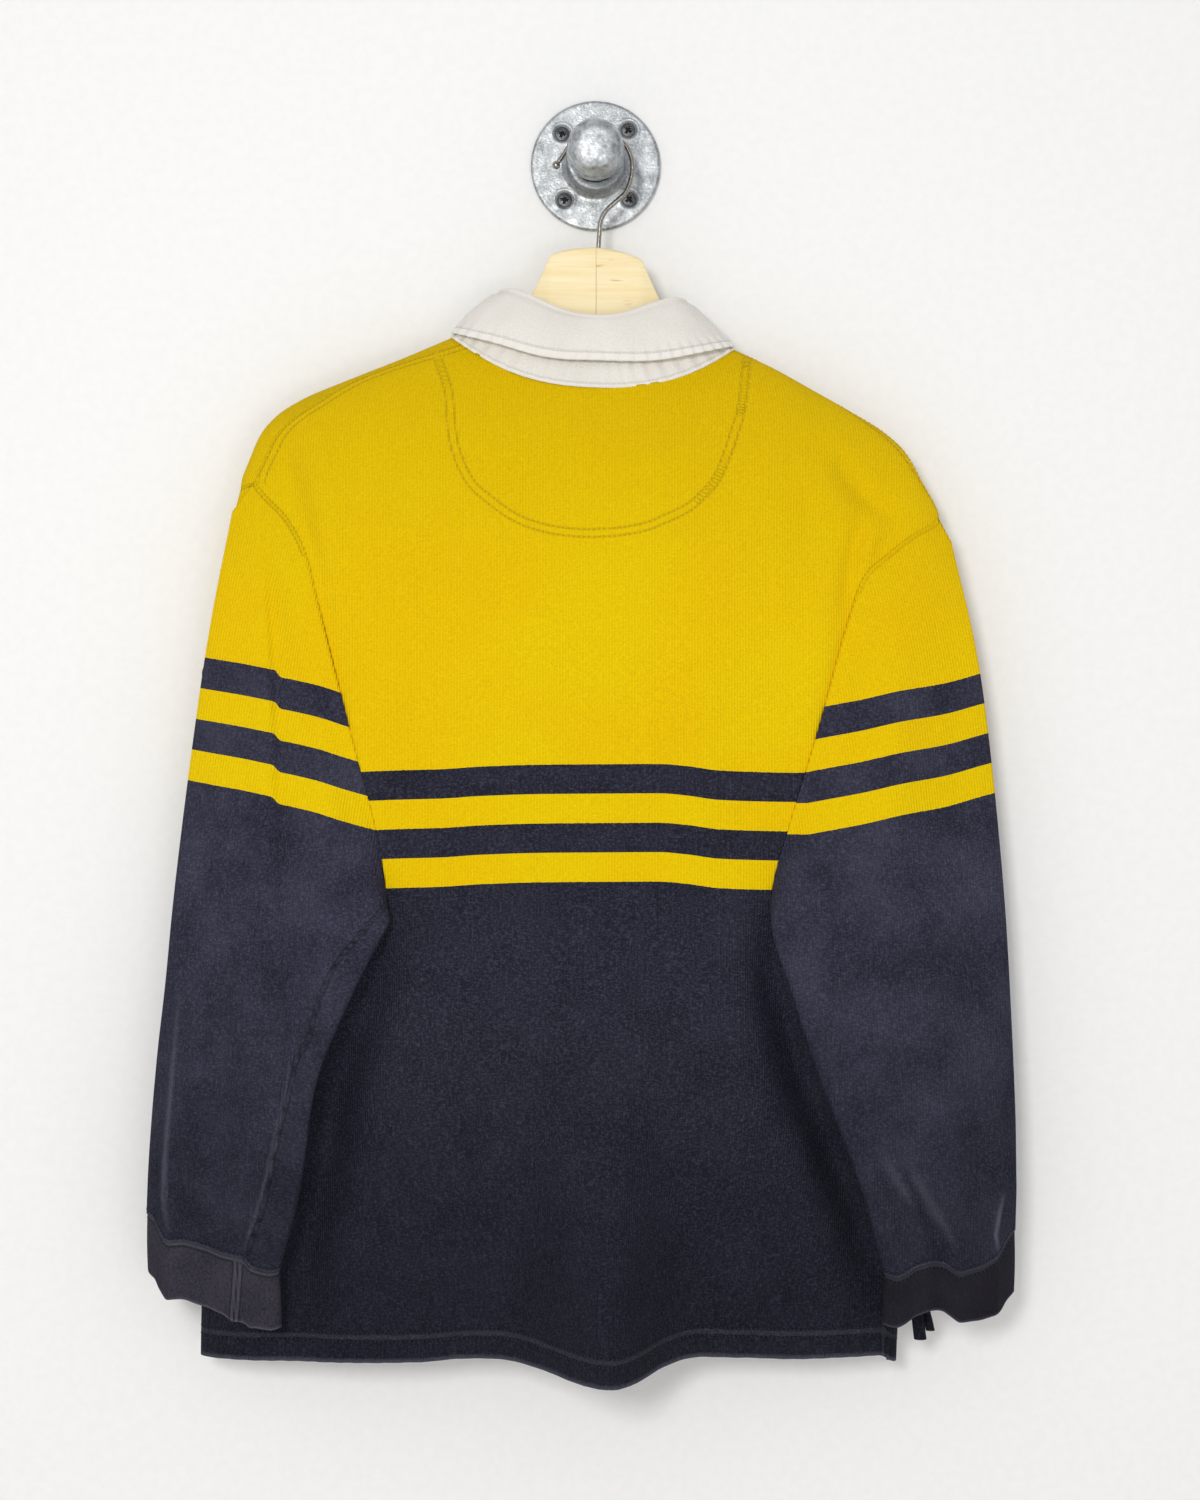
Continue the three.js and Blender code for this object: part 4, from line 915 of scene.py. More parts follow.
def turnedOver(points, side):
    # the right sleeve's rings are reversed so that its faces look outwards too
    return points if side == "left" else np.concatenate([points[:, :1], points[:, :0:-1]], axis=1)


armholeStitchEnd = dict(left=-272.0, right=-296.0)
sleeveGrids, sleevePieces = {}, {}
for side in ("left", "right"):
    points = turnedOver(sleevePoints(side), side)
    sleeveGrids[side] = points
    # painted shade: the sleeve's yellow darkens towards its top, passed on as the tone attribute
    tone = 0.55 * ease((points[..., 2] + 330) / 120)
    down = runAlong(points[1:], 0)
    onCamera = np.zeros(points.shape[:2], bool)
    half = sleeves["half"]
    onCamera[:, :half + 1 if side == "left" else 1] = True
    onCamera[:, -half:] |= side == "right"
    # the armhole's lower part is a plain fold on the camera's side, with its stitches out of sight
    hidden = onCamera[:1] & (points[1:2, :, 2] < armholeStitchEnd[side])
    fromHead = np.where(hidden, 40, down)
    seam = np.concatenate([fromHead[:1], np.minimum(fromHead, down[-1:] - down)])
    worn = np.zeros(seam.shape)
    # pale lines along the fold ridges: painted highlights, and rubbing
    for line, width, amount in onSleeve(ridgeHighlightsAndRubbing[side]):
        away, along, where = distanceTo(points[..., 0], points[..., 2], line)
        worn = np.maximum(worn, amount * np.exp(-(away / width) ** 2) * np.sin(math.pi * np.clip(along, 0.03, 0.97)) ** 0.5)
    worn = np.where(onCamera, worn, 0)
    if underSeam[side]:
        away = distanceTo(points[..., 0], points[..., 2], np.array(photoLine(underSeam[side], -84)))[0]
        seam = np.where(onCamera & (away < 4), np.minimum(seam, np.abs(away * 1.6 - 1.2) + 1.3), seam)
    piece = gridMesh("sleeve_" + side + "_cloth", points, ringCoords(points, side), closed=True, tone=tone, seam=seam, worn=worn)
    sleevePieces[side] = dress(thicken(piece, sleeves["wall"]), sleeveJersey, "jersey_sleeve", "sleeve_" + side)
print("sleeves made")


cuff = dict(rows=34, wall=2.2, gap=0.1, puff=1.0)
cuffGrids, cuffPieces = {}, {}
for side in ("left", "right"):
    ringPoints = sleeveGrids[side][-1]
    centre = ringPoints.mean(axis=0)
    direction = np.array([0.02 if side == "left" else -0.02, 0, -1.0])
    direction /= np.linalg.norm(direction)
    down = np.linspace(0, 1, cuff["rows"])[:, None, None]
    size = 0.985 + 0.012 * down + cuff["puff"] / 50 * np.sin(math.pi * down) * 0.5
    depth = cuffDepth[side](ringPoints[:, 0])[None, :, None]
    points = centre + (ringPoints - centre)[None] * np.array([1, 1, 0]) * size
    points[..., 2] += (ringPoints - centre)[:, 2]
    points = points + direction * (cuff["gap"] + depth * down)
    cuffGrids[side] = points
    across = runAlong(np.concatenate([points, points[:, :1]], axis=1), 1)
    coords = np.stack([across, np.broadcast_to(-38 * down[..., 0], across.shape)], axis=-1)
    toTop = runAlong(points, 0)
    worn = 0.75 * (1 - ease((toTop[-1:] - toTop - 0.2) / 1.5))
    seam = toTop
    if side == "left":
        away = distanceTo(points[..., 0], points[..., 2], np.array(photoLine([(239, 1256), (237, 1285), (234, 1322)], -84)))[0]
        near = (away < 5) & (points[..., 1] < ringPoints[:, 1].mean())
        seam = np.where(near, np.minimum(seam, np.abs(away * 1.5 - 2.65) + 0.3), seam)
    piece = gridMesh("cuff_" + side + "_cloth", points, coords, closed=True, seam=seam, worn=worn)
    cuffPieces[side] = dress(thicken(piece, cuff["wall"]), cuffJersey[side], "cuff_jersey", "cuff_" + side)
print("cuffs made")


# The right vent's corners have curled into two narrow rolls, which show below the cuff
curls = [dict(name="vent_curl_1", route=[(206, -40, -736), (211, -43, -758), (215.5, -45, -778), (217.5, -46, -795)], radius=4.2),
         dict(name="vent_curl_2", route=[(207, -36, -740), (215, -39, -760), (222, -41, -778), (224.8, -42, -790)], radius=3.0)]
for curl in curls:
    line = pathThrough(curl["route"], 2.0)
    turn = np.linspace(-2.4, 2.4, 20)[None, :]
    width = curl["radius"] * mix(0.5, 1.0, ease(np.linspace(0, 1, len(line)) * 2))[:, None]
    points = line[:, None, :] + np.stack([width * np.sin(turn), -width * np.cos(turn), 0 * width * turn], axis=-1)
    coords = np.stack([width * turn, points[..., 2]], axis=-1)
    rubbedEdge = 0.6 * (np.abs(turn) > 2.1) + 0 * width
    piece = gridMesh(curl["name"], points, coords, tone=0.0, seam=40.0, worn=rubbedEdge)
    dress(thicken(piece, 1.2), bodyJersey, "jersey_body")


# Collar in twill: a stand sewn over the neck edge and a leaf that rolls over it, hung 3 degrees askew
collarLines = curvesOf("turn rollX rollY rollZ edgeX edgeY edgeZ", [
    (0, 9, -15, -180, 58, -8.5, -244),
    (0.06, 34, -17, -154, 74, -8.5, -222),
    (0.12, 51, -22, -124, 88, -10, -190),
    (0.19, 61, -30, -102, 95, -19, -152),
    (0.25, 63.5, -39, -94.5, 95, -40, -125),
    (0.31, 57, -49, -94.5, 85, -59, -129.5),
    (0.37, 43, -57, -99.5, 62, -68, -135.5),
    (0.44, 21, -62.5, -108.5, 30, -71, -141.5),
    (0.475, 9, -64, -110.9, 12.5, -71.3, -142.9),
    (0.5, 0, -64.2, -111.3, 0, -71.3, -143.1),
])
collar = dict(tilt=3.0, centreX=-1.7, foldRadius=1.8, columns=260, foldRows=9, leafRows=30, standRows=14,
              leafWall=1.6, standWall=1.4, ripplePitch=8.5, ripple=0.8, wave=2.6, standLift=0.9)


def collarPoints(turn, down):
    half = np.where(turn <= 0.5, turn, 1 - turn)
    sign = np.where(turn <= 0.5, -1, 1)
    x = sign * mix(collarLines["rollX"](half), collarLines["edgeX"](half), down)
    y = mix(collarLines["rollY"](half), collarLines["edgeY"](half), down)
    z = mix(collarLines["rollZ"](half), collarLines["edgeZ"](half), down)
    swell = 3 * np.sin(math.pi * down) * mix(0.3, 1, ease((half - 0.15) / 0.08))
    towards = np.stack([x / 60, (y + 39) / 25, np.zeros(np.shape(x))], axis=-1)
    towards /= np.linalg.norm(towards, axis=-1, keepdims=True)
    place = np.stack([x + collar["centreX"], y, z - math.tan(math.radians(collar["tilt"])) * x], axis=-1)
    return place + towards * swell[..., None], towards


def inwardsFrom(points):
    away = np.stack([collar["centreX"] - points[..., 0], -39 - points[..., 1], np.zeros(points.shape[:-1])], axis=-1)
    return away / np.linalg.norm(away, axis=-1, keepdims=True)


def makeLeaf():
    turn = np.linspace(0, 1, collar["columns"])
    radius = collar["foldRadius"]
    roll, towards = collarPoints(turn, np.zeros(turn.shape))
    inwards = inwardsFrom(roll)
    up = np.array([0, 0, 1.0])
    rows = [roll + inwards * 2 * radius - up * (radius + drop) for drop in (9, 6, 3)]
    for theta in np.linspace(math.pi, 0, collar["foldRows"]):
        rows.append(roll + inwards * (radius - radius * math.cos(theta)) + up * (radius * math.sin(theta) - radius))
    edge, away = collarPoints(turn, np.ones(turn.shape))
    along = np.concatenate([[0], np.cumsum(np.linalg.norm(np.diff(edge, axis=0), axis=1))])
    for down in np.linspace(0.02, 1, collar["leafRows"]):
        line, towards = collarPoints(turn, np.full(turn.shape, down))
        line = line - up * radius * (1 - ease(down / 0.15))
        nearEdge = ease((down - 0.62) / 0.3)
        beat = along / collar["ripplePitch"] + 0.35 * np.sin(along / 17)
        ripple = collar["ripple"] * np.sin(2 * math.pi * beat) * nearEdge
        wave = collar["wave"] * np.sin(along / 21 + 1.1) * np.sin(along / 47) * math.sin(math.pi * min(down * 1.1, 1))
        line = line + towards * (ripple + wave)[:, None]
        line[:, 2] += 0.7 * np.sin(along / 13 + 0.5) * ease((down - 0.8) / 0.2)
        rows.append(line)
    # the edge is turned under, which gives it its thickness
    last = rows[-1]
    rows.append(last - away * 1.1 - up * 0.5)
    points = np.stack(rows)
    run = np.cumsum(np.concatenate([np.zeros((1, len(turn))), np.linalg.norm(np.diff(points, axis=0), axis=2)]), axis=0)
    coords = np.stack([np.broadcast_to(along, run.shape), -run], axis=-1)
    toEdge = run[-2] - run
    piece = gridMesh("collar_leaf_cloth", points, coords, seam=np.abs(toEdge) - 2.65)
    return dress(thicken(piece, collar["leafWall"]), collarTwill, "collar_twill", "collar_leaf"), points


def makeStand():
    turn = np.linspace(0, 1, collar["columns"])
    roll, towards = collarPoints(turn, np.zeros(turn.shape))
    upper = roll + inwardsFrom(roll) * 3.4 - np.array([0, 0, 3.2])
    angle = (1.5 * math.pi + mix(0.13, 2 * math.pi - 0.13, turn)) % (2 * math.pi)
    lower = bodyPoints(0.0, angle) + bodyNormals(0.0, angle) * collar["standLift"]
    away = lower - upper
    away /= np.linalg.norm(away, axis=1, keepdims=True)
    lower = lower + away * 1.0
    along = np.concatenate([[0], np.cumsum(np.linalg.norm(np.diff(lower, axis=0), axis=1))])
    normal = bodyNormals(0.0, angle)
    rows = []
    for down in np.linspace(0, 1, collar["standRows"]):
        beat = along / 9.5 + 0.4 * np.sin(along / 19)
        ripple = (0.75 * np.sin(2 * math.pi * beat) * ease((down - 0.3) / 0.4)) * (1 - 0.7 * ease((down - 0.9) / 0.1))
        ridge = 1.3 * math.exp(-((down - 0.72) / 0.08) ** 2) if down > 0.4 else 0
        rows.append(mix(upper, lower, down) + normal * (ripple + ridge)[:, None])
    rows.append(rows[-1] - normal * 1.0 + away * 0.2)
    points = np.stack(rows)
    run = np.cumsum(np.concatenate([np.zeros((1, len(turn))), np.linalg.norm(np.diff(points, axis=0), axis=2)]), axis=0)
    coords = np.stack([np.broadcast_to(along, run.shape), -run], axis=-1)
    piece = gridMesh("collar_stand_cloth", points, coords, seam=run[-2] - run)
    return dress(thicken(piece, collar["standWall"]), collarTwill, "collar_twill", "collar_stand"), points


leafPiece, leafGrid = makeLeaf()
standPiece, standGrid = makeStand()
print("collar made")


# Placket on the front: an outer band with three rubber buttons over an under band
placket = dict(topZ=-206.5, length=172.0, width=34.0, rows=70, columns=18, wall=1.3)


def makePlacket(name, lift, width, length, node):
    t = np.linspace(0, 1, placket["rows"])[:, None]
    s = np.linspace(0.5, -0.5, placket["columns"])[None, :]
    z = placket["topZ"] - length * t + 0 * s
    centre = collar["centreX"] - 1.5 - 1.5 * t
    over = bodyOver(centre + width * s, z, False)
    edgeFall = 0.5 * (np.clip(np.abs(s) * 2, 0, 1) ** 12)
    over[..., 1] += lift - edgeFall + 0.25 * np.sin(z / 5.5) * (np.abs(s) * 2) ** 3
    coords = np.stack([width * s + 0 * t, z], axis=-1)
    toSide = width * (0.5 - np.abs(s)) + 0 * t
    toEnd = length * (1 - t) + 0 * s
    piece = gridMesh(name, over, coords, seam=np.minimum(toSide, toEnd))
    return dress(thicken(piece, placket["wall"]), collarTwill, "collar_twill", node), over


outerBand, outerBandGrid = makePlacket("placket_outer_cloth", 2.0, placket["width"], placket["length"], "placket_outer")
underBand, underBandGrid = makePlacket("placket_under_cloth", -2.3, placket["width"] - 6, placket["length"] - 10,
                                       "placket_under")


def latheMesh(name, profile, segments, centre=(0, 0), lump=0.0):
    # turned about the pipe's axis, which points out of the wall; profile is radius and distance from the wall
    profile = np.array(profile, float)
    angle = np.linspace(0, 2 * math.pi, segments, endpoint=False)
    radius = profile[:, 0][:, None] + 0 * angle[None, :]
    if lump:
        radius = radius + lump * (np.sin(3 * angle + profile[:, 1][:, None] / 5) + np.sin(7 * angle + 1.7)) * (radius > 3)
    points = np.stack([centre[0] + radius * np.cos(angle), -profile[:, 1][:, None] + 0 * angle,
                       centre[1] + radius * np.sin(angle)], axis=-1)
    return gridMesh(name, points, closed=True)


def rounded(profile, radius, steps=4):
    # a profile whose corners are rounded off
    points = [np.array(p, float) for p in profile]
    made = [points[0]]
    for before, corner, after in zip(points, points[1:], points[2:]):
        reach = min(radius, np.linalg.norm(before - corner) / 2.2, np.linalg.norm(after - corner) / 2.2)
        first = corner + (before - corner) / np.linalg.norm(before - corner) * reach
        last = corner + (after - corner) / np.linalg.norm(after - corner) * reach
        for t in np.linspace(0, 1, steps):
            made.append(first * (1 - t) ** 2 + 2 * corner * t * (1 - t) + last * t * t)
    made.append(points[-1])
    return made


# Moulded rubber: even and satin, a little yellowed
rubber = mottledMaterial("moulded rubber, off-white", dict(dark="#cfc8ba", pale="#dcd6ca", size=2.0, roughness=0.55, height=0.03))
buttons = dict(radius=5.6, height=2.0, spacing=56.0, first=-222.0)
for n in range(3):
    z = buttons["first"] - buttons["spacing"] * n
    over = bodyOver(collar["centreX"] - 2, z, False)
    front = -(over[1] + 3.4 - 1.0)
    profile = rounded([(0.01, front - 2.1), (3.4, front - 2.1), (3.9, front - 2.9), (5.6, front - 2.4), (5.6, front),
                       (0.01, front)], 0.5)
    piece = latheMesh("button_rubber_" + str(n + 1), profile, 40, (float(over[0]), z))
    dress(piece, rubber, "rubber_button", "button_" + str(n + 1))
print("placket and buttons made")


# Wooden hanger: two bevelled halves glued at the middle of the head
hangerSections = curvesOf("reach topZ bottomZ half", [
    (0.3, -63, -139, 6.5), (14, -64.5, -140, 6.5), (29, -69, -142, 6.5), (31, -70.6, -142, 6.5), (36, -82, -143, 6.5),
    (44, -98, -145, 6.5), (60, -118, -150, 6.5), (95, -135.5, -163, 6.2), (130, -151, -178, 6),
    (165, -168.5, -192, 5.6), (190, -183, -202, 5), (201, -192, -204, 4),
])
hanger = dict(planeY=-38, middle=0.5, bevel=2.6, reachSteps=120)


def pineMaterial():
    # clear-finished pine: pale sapwood with soft growth lines and a few darker resin streaks on one side
    material, tree, shader = newMaterial("pine, planed and clear lacquered")
    place = addNode(tree, "ShaderNodeTexCoord").outputs["Object"]
    grain = addNode(tree, "ShaderNodeMapping", {"Vector": place, "Rotation": (0, math.radians(14), 0),
                                                "Scale": (14, 90, 260)}).outputs[0]
    streakPlace = addNode(tree, "ShaderNodeMapping", {"Vector": place, "Rotation": (0, math.radians(16), 0),
                                                      "Scale": (38, 90, 260)}).outputs[0]
    lines = addNode(tree, "ShaderNodeTexNoise", {"Vector": grain, "Scale": 1.0, "Detail": 4, "Roughness": 0.6})
    streaks = addNode(tree, "ShaderNodeTexNoise", {"Vector": streakPlace, "Scale": 1.0, "Detail": 2, "Roughness": 0.45})
    x = addNode(tree, "ShaderNodeSeparateXYZ", {0: place}).outputs[0]
    onRight = addNode(tree, "ShaderNodeMath", {0: x, 1: hanger["middle"] * millimetre}, operation="GREATER_THAN").outputs[0]
    band = addNode(tree, "ShaderNodeMapRange", {"Value": lines, "From Min": 0.32, "From Max": 0.66, "To Min": 0, "To Max": 1})
    soft = addNode(tree, "ShaderNodeMix", {0: band, 6: hexColour("#f3dca2"), 7: hexColour("#fbedc4")}, data_type="RGBA")
    streak = addNode(tree, "ShaderNodeMapRange", {"Value": streaks.outputs[0], "From Min": 0.6, "From Max": 0.68,
                                                  "To Min": 0, "To Max": 0.75}).outputs[0]
    marked = addNode(tree, "ShaderNodeMath", {0: streak, 1: onRight}, operation="MULTIPLY").outputs[0]
    wood = addNode(tree, "ShaderNodeMix", {0: marked, 6: soft.outputs[2], 7: hexColour("#cf9f5c")}, data_type="RGBA")
    tree.links.new(wood.outputs[2], shader.inputs["Base Color"])
    bump = addNode(tree, "ShaderNodeBump", {"Strength": 0.25, "Distance": 0.1 * millimetre, "Height": lines.outputs[0]})
    tree.links.new(bump.outputs[0], shader.inputs["Normal"])
    shader.inputs["Roughness"].default_value = 0.5
    return material


pine = pineMaterial()


def tubeMesh(name, rings, capped=True):
    # closed bar through rings of points, faced outwards
    rings = np.array(rings)
    count, size = rings.shape[0], rings.shape[1]
    points = rings.reshape(-1, 3)
    faces = []
    for j in range(count - 1):
        for i in range(size):
            n = (i + 1) % size
            faces.append((j * size + i, (j + 1) * size + i, (j + 1) * size + n, j * size + n))
    if capped:
        faces.append(tuple(range(size)))
        faces.append(tuple(range((count - 1) * size, count * size))[::-1])
    first = points[[f[0] for f in faces]]
    second = points[[f[1] for f in faces]]
    third = points[[f[2] for f in faces]]
    if np.einsum("ij,ij->i", first, np.cross(second, third)).sum() < 0:
        faces = [f[::-1] for f in faces]
    return rawMesh(name, points, faces)


def makeHangerHalf(side, name, node):
    reach = np.concatenate([np.linspace(0.04, 36, 44), np.linspace(38, 201, hanger["reachSteps"])])
    x = side * reach + hanger["middle"]
    tilt = -math.tan(math.radians(collar["tilt"])) * side * reach
    top, bottom = hangerSections["topZ"](reach) + tilt, hangerSections["bottomZ"](reach) + tilt
    half = hangerSections["half"](reach)
    rings = []
    for n in range(len(reach)):
        ring = []
        middleZ, high = (top[n] + bottom[n]) / 2, (top[n] - bottom[n]) / 2
        for quarter, (sy, sz) in enumerate(((1, 1), (-1, 1), (-1, -1), (1, -1))):
            for step in range(4):
                turn = math.pi / 2 * (quarter + step / 3)
                y = sy * (half[n] - hanger["bevel"]) + hanger["bevel"] * math.cos(turn)
                z = sz * (high - hanger["bevel"]) + hanger["bevel"] * math.sin(turn)
                ring.append((x[n], hanger["planeY"] + y, middleZ + z))
        rings.append(ring)
    return dress(tubeMesh(name, rings), pine, "pine", node)


makeHangerHalf(-1, "hanger_wood_left", "hanger_left")
makeHangerHalf(1, "hanger_wood_right", "hanger_right")
print("hanger made")


# Hot-dip galvanised iron: the dipped zinc leaves a bright lumpy skin, mottled with dull grey
def galvanisedMaterial(name, speck=1.7, lumpHeight=0.35):
    material, tree, shader = newMaterial(name)
    place = addNode(tree, "ShaderNodeTexCoord").outputs["Object"]
    lumps = addNode(tree, "ShaderNodeTexNoise", {"Vector": place, "Scale": 1000 / speck, "Detail": 3, "Roughness": 0.6})
    clouds = addNode(tree, "ShaderNodeTexNoise", {"Vector": place, "Scale": 1000 / 11, "Detail": 4, "Roughness": 0.6})
    spangle = addNode(tree, "ShaderNodeTexVoronoi", {"Vector": place, "Scale": 1000 / 4.5}, feature="F1")
    blend = addNode(tree, "ShaderNodeMath", {0: lumps.outputs[0], 1: 0.9, 2: clouds.outputs[0]},
                    operation="MULTIPLY_ADD").outputs[0]
    level = addNode(tree, "ShaderNodeMapRange", {"Value": blend, "From Min": 0.68, "From Max": 1.12, "To Min": 0, "To Max": 1})
    tone = addNode(tree, "ShaderNodeMix", {0: level, 6: hexColour("#7f8487"), 7: hexColour("#c3c7c9")}, data_type="RGBA")
    tree.links.new(tone.outputs[2], shader.inputs["Base Color"])
    shader.inputs["Metallic"].default_value = 0.85
    rough = addNode(tree, "ShaderNodeMapRange", {"Value": spangle.outputs["Distance"], "From Min": 0, "From Max": 0.7,
                                                 "To Min": 0.34, "To Max": 0.52}).outputs[0]
    tree.links.new(rough, shader.inputs["Roughness"])
    bump = addNode(tree, "ShaderNodeBump", {"Strength": 0.7, "Distance": lumpHeight * millimetre, "Height": blend})
    tree.links.new(bump.outputs[0], shader.inputs["Normal"])
    return material


castZinc = galvanisedMaterial("galvanised malleable iron, cast", 1.5, 0.3)
capZinc = galvanisedMaterial("galvanised malleable iron, cap", 3.2, 0.45)
pipeZinc = galvanisedMaterial("galvanised steel pipe", 2.4, 0.15)

flange = dict(radius=44.5, thickness=4.6, boss=19.2, bossHeight=17.0, web=2.0, sinkRadius=6.6, sinkDepth=2.0)
screwPlaces = [(-23.0, 22.0), (22.3, 24.5), (-21.2, -23.3), (23.0, -22.8)]
nipple = dict(radius=13.35, bore=10.5, start=2.3, end=66.0)
cap = dict(radius=18.5, start=46.0, end=74.0, bead=19.4)


def makeFlangeMesh():
    outer = [(nipple["radius"] + 0.3, flange["web"]), (nipple["radius"] + 0.3, flange["bossHeight"]),
             (flange["boss"] - 0.6, flange["bossHeight"]), (flange["boss"], flange["bossHeight"] - 1.6),
             (flange["boss"] + 0.8, flange["thickness"] + 3), (flange["boss"] + 4.0, flange["thickness"])]
    rim = [(flange["radius"] - 0.9, flange["thickness"]), (flange["radius"], flange["thickness"] - 1.0),
           (flange["radius"], 0.8), (flange["radius"] - 0.8, 0), (0.01, 0)]
    head = rounded([(0.01, flange["web"])] + outer + [(flange["boss"] + 6, flange["thickness"])], 1.4)
    face = [(r, flange["thickness"]) for r in np.linspace(flange["boss"] + 6.4, flange["radius"] - 2.2, 44)]
    profile = np.array(list(head) + face + list(rounded(rim, 0.7)))[::-1]
    segments = 260
    angle = np.linspace(0, 2 * math.pi, segments, endpoint=False)
    radius = profile[:, 0][:, None] + 0 * angle
    x, z = radius * np.cos(angle), radius * np.sin(angle)
    out = profile[:, 1][:, None] + 0 * angle
    for px, pz in screwPlaces:
        away = np.hypot(x - px, z - pz)
        sink = flange["sinkDepth"] * (1 - ease((away - 3.6) / (flange["sinkRadius"] - 3.6)))
        ring = 0.35 * np.exp(-((away - flange["sinkRadius"] - 0.5) / 0.7) ** 2)
        out = out + np.where((out > 3) & (radius > flange["boss"] + 1), ring - sink, 0)
    points = np.stack([x, -out, z], axis=-1)
    return gridMesh("wall_flange_iron", points, closed=True)


dress(makeFlangeMesh(), castZinc, "galvanised_iron", "wall_flange")
pipeProfile = rounded([(nipple["bore"], nipple["end"]), (nipple["radius"], nipple["end"]),
                       (nipple["radius"], nipple["start"]), (nipple["bore"], nipple["start"]),
                       (nipple["bore"], nipple["end"])], 0.3)
dress(latheMesh("pipe_nipple_steel", pipeProfile, 96), pipeZinc, "galvanised_iron", "pipe_nipple")
inside = nipple["radius"] + 0.3
capProfile = rounded([(0.01, cap["end"]), (11, cap["end"] - 0.3), (cap["radius"] - 2.4, cap["end"] - 2.2),
                      (cap["radius"] - 0.3, cap["end"] - 7), (cap["radius"], cap["start"] + 8.0),
                      (cap["bead"], cap["start"] + 7.2), (cap["bead"], cap["start"]), (inside, cap["start"]),
                      (inside, cap["end"] - 6), (0.01, cap["end"] - 6)], 1.5, 6)
dress(latheMesh("pipe_cap_iron", capProfile, 128, lump=0.14), capZinc, "galvanised_iron", "pipe_cap")
print("flange, pipe and cap made")


# Screws: countersunk heads with a cross recess
# Zinc-plated steel, weathered: dull grey, and the cross recess painted near black as painted shade
screwSteel = mottledMaterial("zinc-plated steel, dull", dict(
    dark="#4a4c4e", pale="#6c6e70", size=1.6, roughness=0.42, height=0.05, metallic=0.9))
recessShadeSteel = mottledMaterial("zinc-plated steel, shaded recess", dict(
    dark="#0e0f10", pale="#1d1e1f", size=1.2, roughness=0.75, height=0.05, metallic=0.2))
screwHead = dict(radius=4.8, seat=3.6, dome=0.7, slotHalf=0.62, slotReach=2.7, slotDepth=1.5, turns=(20, 38, 8, 52))
for n, (px, pz) in enumerate(screwPlaces):
    radii = np.concatenate([np.linspace(0.01, 3.4, 26), np.linspace(3.6, screwHead["radius"], 5)])
    angle = np.linspace(0, 2 * math.pi, 96, endpoint=False)
    r, a = radii[:, None] + 0 * angle, 0 * radii[:, None] + angle
    turned = a + math.radians(screwHead["turns"][n])
    u, v = np.abs(r * np.cos(turned)), np.abs(r * np.sin(turned))
    width = screwHead["slotHalf"]
    arms = np.maximum((1 - ease((u - width) / 0.3)) * (1 - ease((v - screwHead["slotReach"]) / 0.4)),
                      (1 - ease((v - width) / 0.3)) * (1 - ease((u - screwHead["slotReach"]) / 0.4)))
    height = screwHead["seat"] + screwHead["dome"] * (1 - (r / screwHead["radius"]) ** 2) - screwHead["slotDepth"] * arms
    top = np.stack([px + r * np.cos(a), -height, pz + r * np.sin(a)], axis=-1)[::-1]
    depths = [(screwHead["radius"] - 0.2, screwHead["seat"] - 0.5), (2.2, screwHead["seat"] - 3.1), (2.2, 0.3), (0.01, 0.3)]
    below = [np.stack([px + q * np.cos(angle), np.full(96, -d), pz + q * np.sin(angle)], axis=-1) for q, d in depths]
    points = np.concatenate([np.stack(below)[::-1], top])
    piece = dress(gridMesh("screw_steel_" + str(n + 1), points, closed=True), screwSteel, "screw_steel",
                  "screw_" + str(n + 1))
    # the recess's faces take the near-black material: painted shade in the cross recess
    piece.data.materials.append(recessShadeSteel)
    slots = np.concatenate([np.zeros((4, 96)), arms[::-1]])
    dark = (slots[:-1] > 0.55) & (slots[1:] > 0.55)
    piece.data.polygons.foreach_set("material_index", dark.ravel().astype(np.int32))
print("screws made")


# Wire hook: bright drawn wire bent to a question mark round the pipe, with a bead on its end
hook = dict(planeY=-34, radius=1.6, bead=2.8, sides=20)
hookRoute = [(1.9, -62.6), (2.6, -52), (3.4, -44), (7.5, -36.5), (14, -30.5), (20.6, -24), (24.6, -12), (24, -1),
             (19.8, 7.6), (12, 13.4), (3, 15.6), (-7, 14.6), (-15.4, 10), (-21.6, 1), (-25, -4)]


def smoothRoute(points, count):
    # Catmull-Rom line through the points
    points = [np.array(p, float) for p in points]
    padded = [2 * points[0] - points[1]] + points + [2 * points[-1] - points[-2]]
    made = []
    for a, b, c, d in zip(padded, padded[1:], padded[2:], padded[3:]):
        for t in np.linspace(0, 1, count, endpoint=False):
            made.append(0.5 * (2 * b + (c - a) * t + (2 * a - 5 * b + 4 * c - d) * t * t
                               + (3 * b - a - 3 * c + d) * t ** 3))
    return np.array(made + [points[-1]])


# Drawn steel wire, nickel plated: smooth and bright, with faint draw marks
steel = mottledMaterial("drawn steel wire, nickel plated", dict(
    dark="#8d8a83", pale="#aaa69d", size=1.4, roughness=0.24, height=0.02, metallic=1.0))
line = smoothRoute(hookRoute, 10)
along = np.gradient(line, axis=0)
along /= np.linalg.norm(along, axis=1, keepdims=True)
angles = np.linspace(0, 2 * math.pi, hook["sides"], endpoint=False)
rings = []
for (px, pz), (ax, az) in zip(line, along):
    rings.append([(px + hook["radius"] * math.cos(w) * -az, hook["planeY"] + hook["radius"] * math.sin(w),
                   pz + hook["radius"] * math.cos(w) * ax) for w in angles])
wire = tubeMesh("hook_wire", rings)
endX, endZ = line[-1][0] - 1.6, line[-1][1] - 2.2
beadRings = []
for w in np.linspace(0.06, math.pi - 0.06, 16):
    size = hook["bead"] * math.sin(w)
    beadRings.append([(endX + size * math.cos(q), hook["planeY"] + size * math.sin(q), endZ + hook["bead"] * math.cos(w))
                      for q in angles])
